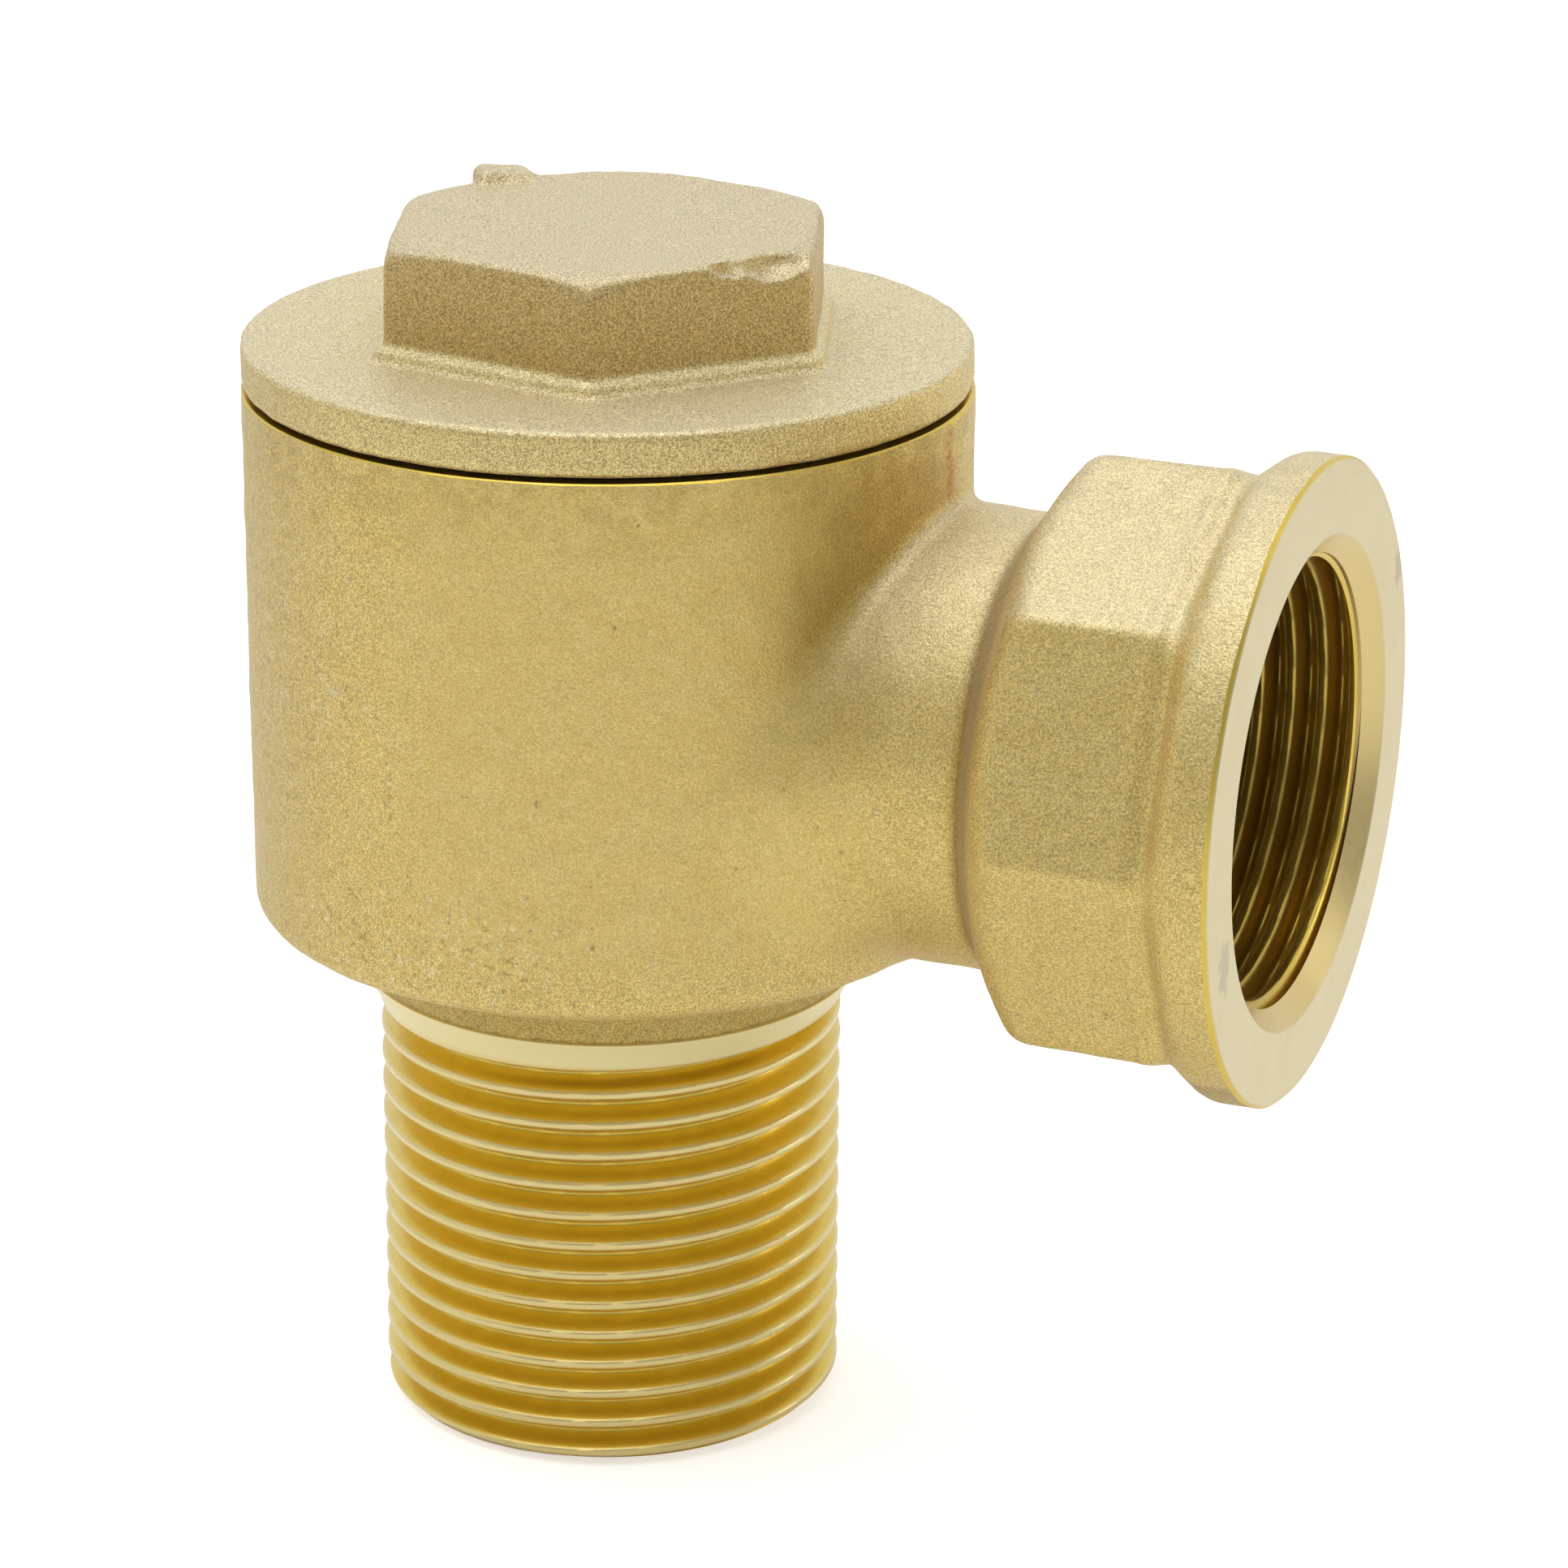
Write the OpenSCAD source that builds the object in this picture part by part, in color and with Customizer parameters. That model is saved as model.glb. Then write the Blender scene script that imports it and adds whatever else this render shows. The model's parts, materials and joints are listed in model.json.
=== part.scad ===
// Angle pattern automatic air vent of the balanced pressure (bellows) kind, in millimetres.
// The origin is on the main axis, at the open end of the lower male thread; +Z is up and the
// side port points along +X.

/* [Pipe threads] */
// Outside diameter of the male pipe thread
thread_d = 33.25; // [33.0:0.05:33.5]
// Pitch of both pipe threads
pitch = 2.309; // [2.2:0.001:2.4]
// Depth of the thread form
thread_depth = 1.479; // [1.2:0.001:1.5]
// Bore of the male end
inlet_bore_d = 24; // [18:0.5:25]

/* [Body] */
// Diameter of the cylindrical body
body_d = 50.8; // [50:0.1:54]
// Height of the body's flat underside above the origin
body_bottom_z = 37.6; // [37:0.1:38]
// Height of the body's top face above the origin
body_top_z = 75.7; // [75.7:0.1:76.5]
// Radius of the rounding at the body's lower edge
body_round = 1.6; // [0.5:0.1:3]
// Diameter of the short cast neck under the body
neck_d = 35.7; // [34:0.1:38]
// Height of the neck's lower end above the origin
neck_z = 33.1; // [32.5:0.1:34]
// Height of the lower end of the machined cone under the neck
band_z = 31.0; // [30.9:0.1:31.5]
// Diameter of the element chamber
chamber_d = 42; // [40:0.5:43]
// Height of the chamber floor above the origin
floor_z = 41.6; // [41:0.1:42]

/* [Side port] */
// Height of the port axis above the origin
port_z = 53.55; // [53:0.05:54]
// Distance from the main axis to the port face
port_x = 51.95; // [51.5:0.05:53]
// Outside diameter of the port tube
port_tube_d = 31.8; // [31:0.1:33]
// Width across the flats of the port's octagon
octagon_af = 39.9; // [39:0.1:41]
// Turn of the octagon about the port axis, in degrees
octagon_turn = 2.5; // [-22.5:0.5:22.5]
// Diameter of the rounded rim at the port mouth
rim_d = 44.4; // [43:0.1:46]
// Diameter of the port passage behind the thread
passage_d = 24; // [20:0.5:25]

/* [Bonnet] */
// Thickness of the bonnet flange
flange_h = 3; // [2.5:0.1:4]
// Gap between the body's top face and the bonnet flange
flange_gap = 0.4; // [0.3:0.05:0.8]
// Width across the flats of the bonnet hexagon
hex_af = 29.3; // [27:0.1:32]
// Height of the bonnet hexagon
hex_h = 8; // [6:0.5:10]
// Turn of the hexagon about the main axis, in degrees
hex_turn = 50.2; // [0:0.1:60]
// Diameter of the bonnet's screw thread
bonnet_thread_d = 45; // [44.6:0.1:45.2]
// Pitch of the bonnet's screw thread
bonnet_pitch = 1.5; // [1.25:0.25:1.5]

/* [Thermostatic element] */
// Outside diameter of the bellows
bellows_d = 26; // [24:0.5:27]
// Number of bellows folds
bellows_folds = 5; // [4:1:6]
// Lift of the plug above the closed position when cold
plug_lift = 3; // [2:0.1:3]
// Diameter of the hole through the valve seat
orifice_d = 11; // [8:0.5:11]
// Wire diameter of the override spring
spring_wire_d = 1.1; // [0.8:0.1:1.2]
// Number of override spring turns
spring_turns = 3; // [2:1:3]

/* [Hidden] */
$fn = 96;
eps = 0.01;
past = 1;

cast_brass = [0.78, 0.68, 0.42];
turned_brass = [0.86, 0.74, 0.40];
bronze = [0.72, 0.52, 0.30];
steel = [0.72, 0.73, 0.74];
copper = [0.78, 0.45, 0.30];
fibre = [0.20, 0.20, 0.19];

// Running clearance, as a difference of radii
slip = 0.05;

// Male and female pipe thread
thread_r = thread_d / 2;
minor_r = thread_r - thread_depth;
crest_land = 0.45;
root_land = 0.3;
// The highest full crest lies this far under the machined cone
run_out = 2.22;
top_crest_z = band_z - run_out;
crest_count = floor((top_crest_z - crest_land) / pitch) + 1;
end_chamfer = 0.45;
band_low_r = thread_r + 0.2;
port_thread_start_x = 38.5;
port_groove_count = 5;
// The first groove of the female thread lies this far inside the mouth chamfer
port_groove_in = 0.7;
mouth_r = 17;
mouth_depth = 1.65;

// Outside of the side port
shoulder_low_x = 32.4;
shoulder_high_x = 35.3;
shoulder_high_r = 20.4;
octagon_end_x = 46.9;
groove_x = 47.6;
groove_r = 19.5;
rim_r = rim_d / 2;
rim_start_x = 49.4;
rim_chamfer = 0.6;
octagon_r = octagon_af / 2 / cos(22.5);

// Inside of the body
body_r = body_d / 2;
chamber_r = chamber_d / 2;
bonnet_bore_r = bonnet_thread_d / 2;
bonnet_bore_h = 9;
ledge_z = body_top_z - bonnet_bore_h;
seat_shank_r = 11;
seat_hole_r = seat_shank_r + slip;
seat_hole_low_z = 31.5;
port_shoulder_x = 34.4;
port_relief_r = 15.6;
snap_groove_w = 1.1;

// Bonnet gasket in its recess
recess_r = 24.1;
recess_depth = 0.5;
gasket_low_z = body_top_z - recess_depth;
gasket_high_z = body_top_z + flange_gap;

// Bonnet
flange_top_z = gasket_high_z + flange_h;
flange_edge = 0.5;
hex_top_z = flange_top_z + hex_h;
// How far the turned circle on the head lies inside its flats
hex_top_flat = 0.3;
skirt_r = bonnet_bore_r - slip;
skirt_inner_r = 19;
// Room under the skirt for the cage's flange
skirt_gap = 1.55;
skirt_low_z = ledge_z + skirt_gap;
cavity_z = gasket_high_z - 0.1;
core_r = 10;
// How far the core under the head reaches above the flange
core_rise = 2.5;
core_z = flange_top_z + core_rise;
bonnet_groove_depth = 0.8;
bonnet_groove_land = 0.1;

// Valve seat
seat_gasket_h = 0.8;
seat_gasket_w = 2.7;
seat_flange_z = floor_z + seat_gasket_h;
seat_flange_h = 2.8;
seat_af = 25;
seat_nose_r = 9;
seat_nose_h = 1.2;
seat_nose_z = seat_flange_z + seat_flange_h + seat_nose_h;
orifice_r = orifice_d / 2;
seat_chamfer = 1;
seat_low_z = 34;

// Cage that hangs the element in the chamber
shim_h = 0.3;
shim_overhang = 0.4;
shim_inner_r = chamber_r + shim_overhang;
cage_flange_z = ledge_z + shim_h;
cage_flange_h = 1.2;
cage_side_gap = 0.3;
cage_flange_r = bonnet_bore_r - cage_side_gap;
cage_low_r = 17;
cage_low_inner_r = 15.2;
cage_high_r = 18.2;
cage_high_inner_r = 16.3;
cage_step_h = 1.5;
cage_low_z = 48;
cage_high_z = body_top_z - 0.1;
// The head plate rests on the cage's step, this far under the ledge
head_drop = 1.7;
head_low_z = ledge_z - head_drop;
head_h = 2;
window_count = 6;
window_w = 10;
window_margin = 2.4;
window_low_z = cage_low_z + window_margin;
window_high_z = head_low_z - window_margin;
vent_hole_r = 1.6;
vent_hole_rise = 5;
vent_hole_z = head_low_z + vent_hole_rise;

// Override spring between the head plate and its cup
snap_margin = 1.6;
snap_low_z = cage_high_z - snap_margin;
snap_h = 0.8;
snap_depth = 0.7;
snap_side_gap = 0.05;
snap_wire = 1.5;
snap_opening = 4;
cup_h = 1;
cup_low_z = snap_low_z - cup_h;
spring_low_z = head_low_z + head_h;
spring_r = 12.5;
// Lip that centres the spring under the cup
lip_gap = 0.6;
lip_w = 1;
lip_h = 1.2;
lip_r = spring_r - spring_wire_d - lip_gap;
cup_hole_r = 5;
cup_bleed_r = 1.2;
cup_bleed_at = 8;
bleed_count = 6;

// Element
slide_r = cage_high_inner_r - slip;
bellows_r = bellows_d / 2;
bellows_low_z = 54.5;
bellows_wall = 0.4;
fold_depth = 2.6;
cuff_r = bellows_r - fold_depth;
post_r = 3.5;
post_bore_r = 1.1;
post_hole_r = 0.8;
post_hole_rise = 5;
head_bleed_r = 0.9;
head_bleed_at = 14.6;
fill_r = 1.5;
fill_rise = 4.2;
fill_taper_h = 1.5;
fill_tip_r = 0.7;
fill_top_z = spring_low_z + fill_rise;
foot_h = 1.5;
foot_low_z = bellows_low_z - foot_h;
foot_r = 12;
stud_r = 2.5;
// How deep the stud goes into the plug, and the plug's hole below its top
stud_depth = 1.2;
stud_hole_depth = 1.3;
nut_af = 8;
nut_h = 2.5;
nut_low_z = foot_low_z - nut_h;
plug_r = 7.2;
plug_tip_gap = 0.5;
plug_tip_r = orifice_r - plug_tip_gap;
// The plug's cone stands this far off the seat's chamfer when closed
plug_gap = 0.05;
plug_tip_z = seat_nose_z - seat_chamfer - (orifice_r - plug_tip_r) + plug_gap + plug_lift;
plug_cone_z = plug_tip_z + plug_r - plug_tip_r;
plug_top_z = nut_low_z - slip;

// Strainer in the side port
screen_side_gap = 0.4;
screen_r = passage_d / 2 - screen_side_gap;
screen_wall = 0.6;
screen_end_x = 22;
rim_plate_h = 0.8;
rim_side_gap = 0.2;
rim_plate_r = port_relief_r - rim_side_gap;
screen_flare = 1.4;
screen_flare_h = 0.25;
strainer_snap_wire = 1.6;
strainer_snap_opening = 5;

// Turns a shape made along +Z so that it lies along +X at the port's height
module along_port() {
    translate([0, 0, port_z]) rotate([0, 90, 0]) children();
}

// Ring between two heights
module ring(inner_r, outer_r, low, high) {
    rotate_extrude() translate([inner_r, low]) square([outer_r - inner_r, high - low]);
}

// Regular prism given by its width across flats
module prism(sides, across, low, high) {
    translate([0, 0, low])
        cylinder(r = across / 2 / cos(180 / sides), h = high - low, $fn = sides);
}

// Quarter of a circle as points, from one angle to another
function arc(cx, cy, r, from, to, steps = 6) =
    [for (i = [0:steps]) let (a = from + (to - from) * i / steps)
        [cx + r * cos(a), cy + r * sin(a)]];

// Crests and roots of the male thread, from the top crest down
function male_teeth() =
    [for (k = [0:crest_count - 1]) let (z = top_crest_z - k * pitch)
        each [[minor_r, z + pitch / 2 - root_land / 2], [thread_r, z + crest_land / 2],
              [thread_r, z - crest_land / 2], [minor_r, z - pitch / 2 + root_land / 2]]];

// Same list with the last crest left open, so that it runs on to the end chamfer
function male_teeth_to_end() =
    let (teeth = male_teeth()) [for (i = [0:len(teeth) - 3]) teeth[i]];

// Solid of revolution about the main axis: body, neck, machined cone and thread
module body_turned() {
    rotate_extrude() polygon(concat(
        [[0, body_top_z], [body_r, body_top_z]],
        arc(body_r - body_round, body_bottom_z + body_round, body_round, 0, -90),
        [[neck_d / 2, body_bottom_z], [neck_d / 2, neck_z], [band_low_r, band_z],
         [minor_r, top_crest_z + pitch / 2 + root_land / 2]],
        male_teeth_to_end(),
        [[thread_r, end_chamfer], [thread_r - end_chamfer, 0], [0, 0]]));
}

// Rear shoulder of the port, and the envelope that the octagon is cut to
module shoulder_envelope() {
    slope = (shoulder_high_r - port_tube_d / 2) / (shoulder_high_x - shoulder_low_x);
    far_x = shoulder_low_x + (octagon_r + past - port_tube_d / 2) / slope;
    rotate_extrude() polygon([[0, shoulder_low_x], [port_tube_d / 2, shoulder_low_x],
        [octagon_r + past, far_x], [octagon_r + past, octagon_end_x], [0, octagon_end_x]]);
}

// Rounded rim, groove and outer chamfer of the port
module port_rim() {
    rim_curve_r = rim_start_x - groove_x;
    rotate_extrude() polygon(concat(
        [[0, octagon_end_x - past], [groove_r, octagon_end_x - past], [groove_r, groove_x]],
        [for (a = [0:15:90]) [groove_r + (rim_r - groove_r) * sin(a),
                              groove_x + rim_curve_r * (1 - cos(a))]],
        [[rim_r, port_x - rim_chamfer], [rim_r - rim_chamfer, port_x], [0, port_x]]));
}

// Outside of the port: tube, octagon and rim
module port_outside() {
    along_port() {
        cylinder(d = port_tube_d, h = octagon_end_x);
        intersection() {
            rotate([0, 0, octagon_turn]) prism(8, octagon_af, shoulder_low_x, octagon_end_x);
            shoulder_envelope();
        }
        port_rim();
    }
}

// Inside of the port: passage, strainer seat, female thread and mouth chamfer
module port_inside() {
    along_port() {
        translate([0, 0, chamber_r / 2]) cylinder(d = passage_d, h = port_x);
        translate([0, 0, port_shoulder_x])
            cylinder(r = port_relief_r, h = port_thread_start_x - port_shoulder_x);
        translate([0, 0, port_shoulder_x]) cylinder(r = minor_r, h = port_x);
        ring(minor_r - past, port_relief_r + snap_depth, port_shoulder_x + rim_plate_h,
             port_shoulder_x + rim_plate_h + snap_groove_w);
        for (k = [0:port_groove_count - 1]) port_groove(port_x - mouth_depth - port_groove_in - k * pitch);
        rotate_extrude() polygon([[0, port_x - mouth_depth], [minor_r, port_x - mouth_depth],
            [mouth_r, port_x], [mouth_r, port_x + past], [0, port_x + past]]);
    }
}

// One groove of the female thread
module port_groove(x) {
    half = (pitch - crest_land) / 2;
    rotate_extrude() polygon([[minor_r - past, x - half], [minor_r, x - half],
        [thread_r, x - root_land / 2], [thread_r, x + root_land / 2], [minor_r, x + half],
        [minor_r - past, x + half]]);
}

module body() {
    color(cast_brass) difference() {
        union() {
            body_turned();
            port_outside();
        }
        translate([0, 0, -past]) cylinder(d = inlet_bore_d, h = seat_hole_low_z + past);
        cylinder(r = seat_hole_r, h = floor_z + past);
        translate([0, 0, floor_z]) cylinder(r = chamber_r, h = body_top_z);
        translate([0, 0, ledge_z]) cylinder(r = bonnet_bore_r, h = body_top_z);
        translate([0, 0, gasket_low_z]) cylinder(r = recess_r, h = body_top_z);
        port_inside();
    }
}

// Screw thread of the bonnet as V grooves with the right pitch
module bonnet_grooves() {
    for (z = [skirt_low_z + bonnet_pitch:bonnet_pitch:gasket_low_z - bonnet_pitch / 2])
        rotate_extrude() polygon([[skirt_r + past, z - bonnet_pitch / 2],
            [skirt_r, z - bonnet_pitch / 2 + bonnet_groove_land],
            [skirt_r - bonnet_groove_depth, z],
            [skirt_r, z + bonnet_pitch / 2 - bonnet_groove_land],
            [skirt_r + past, z + bonnet_pitch / 2]]);
}

// Hexagon with its top corners turned off at 30 degrees
module bonnet_hexagon() {
    flat_r = hex_af / 2;
    far_r = flat_r / cos(30) + past;
    intersection() {
        rotate([0, 0, hex_turn]) prism(6, hex_af, flange_top_z - flange_h / 2, hex_top_z);
        rotate_extrude() polygon([[0, gasket_high_z], [far_r, gasket_high_z],
            [far_r, hex_top_z - (far_r - flat_r + hex_top_flat) * tan(30)],
            [flat_r - hex_top_flat, hex_top_z], [0, hex_top_z]]);
    }
}

module bonnet() {
    color(cast_brass) difference() {
        union() {
            rotate_extrude() polygon(concat(
                [[0, skirt_low_z], [skirt_r, skirt_low_z], [skirt_r, gasket_high_z],
                 [body_r, gasket_high_z]],
                arc(body_r - flange_edge, flange_top_z - flange_edge, flange_edge, 0, 90),
                [[0, flange_top_z]]));
            bonnet_hexagon();
        }
        translate([0, 0, skirt_low_z - past])
            cylinder(r = skirt_inner_r, h = cavity_z - skirt_low_z + past);
        cylinder(r = core_r, h = core_z);
        bonnet_grooves();
    }
}

module bonnet_gasket() {
    color(fibre) ring(bonnet_bore_r + slip, recess_r - slip, gasket_low_z, gasket_high_z);
}

module valve_seat() {
    waterway_r = 8;
    waterway_z = 40;
    color(turned_brass) difference() {
        union() {
            translate([0, 0, seat_low_z])
                cylinder(r = seat_shank_r, h = seat_flange_z - seat_low_z);
            prism(6, seat_af, seat_flange_z, seat_flange_z + seat_flange_h);
            translate([0, 0, seat_flange_z])
                cylinder(r = seat_nose_r, h = seat_nose_z - seat_flange_z);
        }
        translate([0, 0, seat_low_z - past]) cylinder(r = orifice_r, h = seat_nose_z);
        translate([0, 0, seat_low_z - past])
            cylinder(r = waterway_r, h = waterway_z - seat_low_z + past);
        rotate_extrude() polygon([[0, seat_nose_z - seat_chamfer],
            [orifice_r, seat_nose_z - seat_chamfer], [orifice_r + seat_chamfer, seat_nose_z],
            [orifice_r + seat_chamfer, seat_nose_z + past], [0, seat_nose_z + past]]);
    }
}

module seat_gasket() {
    color(copper) ring(seat_hole_r + slip, seat_hole_r + seat_gasket_w, floor_z, seat_flange_z);
}

// Perforated thimble that lines the passage, closed towards the chamber
module strainer_screen() {
    hole_r = 0.8;
    rows = 3;
    per_row = 12;
    first_row = 2.6;
    row_step = 3.2;
    end_rings = 3;
    end_step = 2.9;
    color(steel) along_port() difference() {
        union() {
            translate([0, 0, screen_end_x])
                cylinder(r = screen_r, h = port_shoulder_x - screen_end_x);
            translate([0, 0, port_shoulder_x])
                cylinder(r = screen_r + screen_flare, h = screen_flare_h);
        }
        translate([0, 0, screen_end_x + screen_wall])
            cylinder(r = screen_r - screen_wall, h = port_x);
        for (row = [0:rows - 1], i = [0:per_row - 1])
            rotate([0, 0, (i + row / 2) * 360 / per_row])
                translate([screen_r - screen_wall - past, 0,
                           screen_end_x + first_row + row * row_step])
                    rotate([0, 90, 0]) cylinder(r = hole_r, h = screen_wall + 2 * past);
        for (hole_ring = [0:end_rings], i = [0:max(1, hole_ring * 6) - 1])
            rotate([0, 0, i * 360 / max(1, hole_ring * 6)])
                translate([hole_ring * end_step, 0, screen_end_x - past])
                    cylinder(r = hole_r, h = screen_wall + 2 * past);
    }
}

// Stiffening rim crimped on the open end of the screen
module strainer_rim() {
    color(steel) along_port() difference() {
        translate([0, 0, port_shoulder_x]) cylinder(r = rim_plate_r, h = rim_plate_h);
        translate([0, 0, port_shoulder_x - past])
            cylinder(r = screen_r - screen_wall, h = rim_plate_h + 2 * past);
        translate([0, 0, port_shoulder_x - eps])
            cylinder(r = screen_r + screen_flare + slip, h = screen_flare_h + eps);
    }
}

// Open wire ring that springs into a groove, with a gap for pliers
module snap_ring(inner_r, outer_r, low, high, gap) {
    difference() {
        ring(inner_r, outer_r, low, high);
        translate([0, -gap / 2, low - past]) cube([outer_r + past, gap, high - low + 2 * past]);
    }
}

module strainer_snap_ring() {
    start = port_shoulder_x + rim_plate_h;
    color(steel) along_port()
        snap_ring(port_relief_r - strainer_snap_wire, port_relief_r + snap_depth - slip, start,
                  start + snap_groove_w - 2 * snap_side_gap, strainer_snap_opening);
}

// Slotted windows round the lower part of the cage
module cage_windows() {
    for (i = [0:window_count - 1]) rotate([0, 0, (i + 0.5) * 360 / window_count]) {
        translate([cage_low_inner_r - past, -window_w / 2, window_low_z])
            cube([cage_high_r, window_w, window_high_z - window_low_z]);
        translate([cage_low_inner_r - past, 0, vent_hole_z])
            rotate([0, 90, 0]) cylinder(r = vent_hole_r, h = cage_high_r, $fn = 32);
    }
}

module cage() {
    color(steel) difference() {
        union() {
            ring(cage_low_inner_r, cage_low_r, cage_low_z, head_low_z);
            ring(cage_low_inner_r, cage_high_r, head_low_z - cage_step_h, head_low_z);
            ring(cage_high_inner_r, cage_high_r, head_low_z - eps, cage_high_z);
            ring(cage_high_inner_r, cage_flange_r, cage_flange_z, cage_flange_z + cage_flange_h);
        }
        ring(cage_high_inner_r - past, cage_high_inner_r + snap_depth, snap_low_z, snap_low_z + snap_h);
        cage_windows();
    }
}

module setting_shim() {
    color(steel) ring(shim_inner_r, cage_flange_r, ledge_z, cage_flange_z);
}

// Round holes spaced evenly on a circle, to be cut from a plate
module ring_of_holes(at_r, hole_r, low, height) {
    for (i = [0:bleed_count - 1]) rotate([0, 0, i * 360 / bleed_count])
        translate([at_r, 0, low]) cylinder(r = hole_r, h = height, $fn = 32);
}

// Dished washer that holds the top of the override spring
module spring_cup() {
    color(steel) difference() {
        union() {
            translate([0, 0, cup_low_z]) cylinder(r = slide_r, h = cup_h);
            ring(lip_r - lip_w, lip_r, cup_low_z - lip_h, cup_low_z + eps);
        }
        translate([0, 0, cup_low_z - past]) cylinder(r = cup_hole_r, h = cup_h + 2 * past);
        ring_of_holes(cup_bleed_at, cup_bleed_r, cup_low_z - past, cup_h + 2 * past);
    }
}

module cage_snap_ring() {
    color(steel)
        snap_ring(cage_high_inner_r - snap_wire, cage_high_inner_r + snap_depth - slip,
                  snap_low_z, snap_low_z + snap_h - snap_side_gap, snap_opening);
}

// Half width of the wire's section at a turn angle away from its middle, in degrees
function wire_half(angle, rise) =
    sqrt(max(0, pow(spring_wire_d / 2, 2) - pow(rise * angle / 360, 2)));

// Coil with a round wire section and flat ground ends: a crescent is swept up as it turns
module override_spring() {
    height = cup_low_z - spring_low_z;
    rise = height / spring_turns;
    reach = 360 * spring_wire_d / 2 / rise;
    points = 6;
    turn_slices = 16;
    outer = [for (i = [-points:points]) let (a = reach * i / points)
        (spring_r + wire_half(a, rise)) * [cos(a), sin(a)]];
    inner = [for (i = [points - 1:-1:1 - points]) let (a = reach * i / points)
        (spring_r - wire_half(a, rise)) * [cos(a), sin(a)]];
    color(steel) translate([0, 0, spring_low_z])
        linear_extrude(height = height, twist = -360 * spring_turns,
                       slices = turn_slices * spring_turns, $fn = turn_slices)
            polygon(concat(outer, inner));
}

module head_plate() {
    color(turned_brass) difference() {
        translate([0, 0, head_low_z]) cylinder(r = slide_r, h = head_h);
        translate([0, 0, head_low_z - past]) cylinder(r = fill_r + slip, h = head_h + 2 * past);
        ring_of_holes(head_bleed_at, head_bleed_r, head_low_z - past, head_h + 2 * past);
    }
}

// Tube through which the element is filled; its pinched end is sealed with solder
module fill_tube() {
    color(copper) {
        translate([0, 0, head_low_z])
            cylinder(r = fill_r, h = fill_top_z - head_low_z - fill_taper_h);
        translate([0, 0, fill_top_z - fill_taper_h])
            cylinder(r1 = fill_r, r2 = fill_tip_r, h = fill_taper_h);
    }
}

// Radius of the bellows' middle surface at a share of its height
function fold_r(share) =
    cuff_r + fold_depth / 2 * (1 - cos(360 * bellows_folds * share)) - bellows_wall / 2;

module bellows() {
    fold_steps = 12;
    steps = bellows_folds * fold_steps;
    height = head_low_z - bellows_low_z;
    half = bellows_wall / 2;
    outside = [for (i = [0:steps])
        [fold_r(i / steps) + half, bellows_low_z + height * i / steps]];
    inside = [for (i = [steps:-1:0])
        [fold_r(i / steps) - half, bellows_low_z + height * i / steps]];
    color(bronze) rotate_extrude() polygon(concat(outside, inside));
}

// Hollow post under the head plate that stops the foot plate when the element is cold
module stop_post() {
    color(turned_brass) difference() {
        translate([0, 0, bellows_low_z]) cylinder(r = post_r, h = head_low_z - bellows_low_z);
        translate([0, 0, bellows_low_z - past]) cylinder(r = post_bore_r, h = head_low_z);
        translate([-post_r - past, 0, bellows_low_z + post_hole_rise]) rotate([0, 90, 0])
            cylinder(r = post_hole_r, h = 2 * (post_r + past), $fn = 24);
    }
}

module foot_plate() {
    color(turned_brass) {
        translate([0, 0, foot_low_z]) cylinder(r = foot_r, h = foot_h);
        translate([0, 0, plug_top_z - stud_depth])
            cylinder(r = stud_r, h = foot_low_z - plug_top_z + stud_depth + eps);
    }
}

module plug_nut() {
    color(turned_brass) difference() {
        prism(6, nut_af, nut_low_z, foot_low_z);
        translate([0, 0, nut_low_z - past]) cylinder(r = stud_r + slip, h = nut_h + 2 * past);
    }
}

module valve_plug() {
    color(steel) difference() {
        rotate_extrude() polygon([[0, plug_tip_z], [plug_tip_r, plug_tip_z], [plug_r, plug_cone_z],
            [plug_r, plug_top_z], [0, plug_top_z]]);
        translate([0, 0, plug_top_z - stud_hole_depth])
            cylinder(r = stud_r + slip, h = stud_hole_depth + past);
    }
}

body();
bonnet();
bonnet_gasket();
valve_seat();
seat_gasket();
strainer_screen();
strainer_rim();
strainer_snap_ring();
cage();
setting_shim();
spring_cup();
cage_snap_ring();
override_spring();
head_plate();
fill_tube();
bellows();
stop_post();
foot_plate();
plug_nut();
valve_plug();
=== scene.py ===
import json
import math

import bpy
import numpy as np
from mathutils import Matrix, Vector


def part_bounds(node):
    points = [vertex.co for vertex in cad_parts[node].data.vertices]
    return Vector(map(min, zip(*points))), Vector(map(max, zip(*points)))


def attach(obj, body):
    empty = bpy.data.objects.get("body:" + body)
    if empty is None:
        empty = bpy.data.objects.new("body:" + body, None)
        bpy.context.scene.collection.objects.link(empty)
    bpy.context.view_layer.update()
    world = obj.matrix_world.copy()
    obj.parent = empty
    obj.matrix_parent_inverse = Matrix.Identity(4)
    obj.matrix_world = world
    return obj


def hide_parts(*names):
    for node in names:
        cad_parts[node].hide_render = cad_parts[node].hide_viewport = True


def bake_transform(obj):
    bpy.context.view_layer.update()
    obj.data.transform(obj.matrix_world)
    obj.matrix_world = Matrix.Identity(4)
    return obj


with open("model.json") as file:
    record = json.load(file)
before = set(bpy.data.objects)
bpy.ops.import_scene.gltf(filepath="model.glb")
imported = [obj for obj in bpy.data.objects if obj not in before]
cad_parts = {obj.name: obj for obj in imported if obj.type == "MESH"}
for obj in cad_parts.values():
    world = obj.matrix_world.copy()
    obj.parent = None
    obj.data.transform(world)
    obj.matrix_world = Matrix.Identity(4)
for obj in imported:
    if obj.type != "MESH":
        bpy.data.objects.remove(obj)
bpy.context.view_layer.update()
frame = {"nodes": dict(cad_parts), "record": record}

import openvdb as vdb
from mathutils import Matrix, Vector, noise

MM = 0.001


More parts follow.
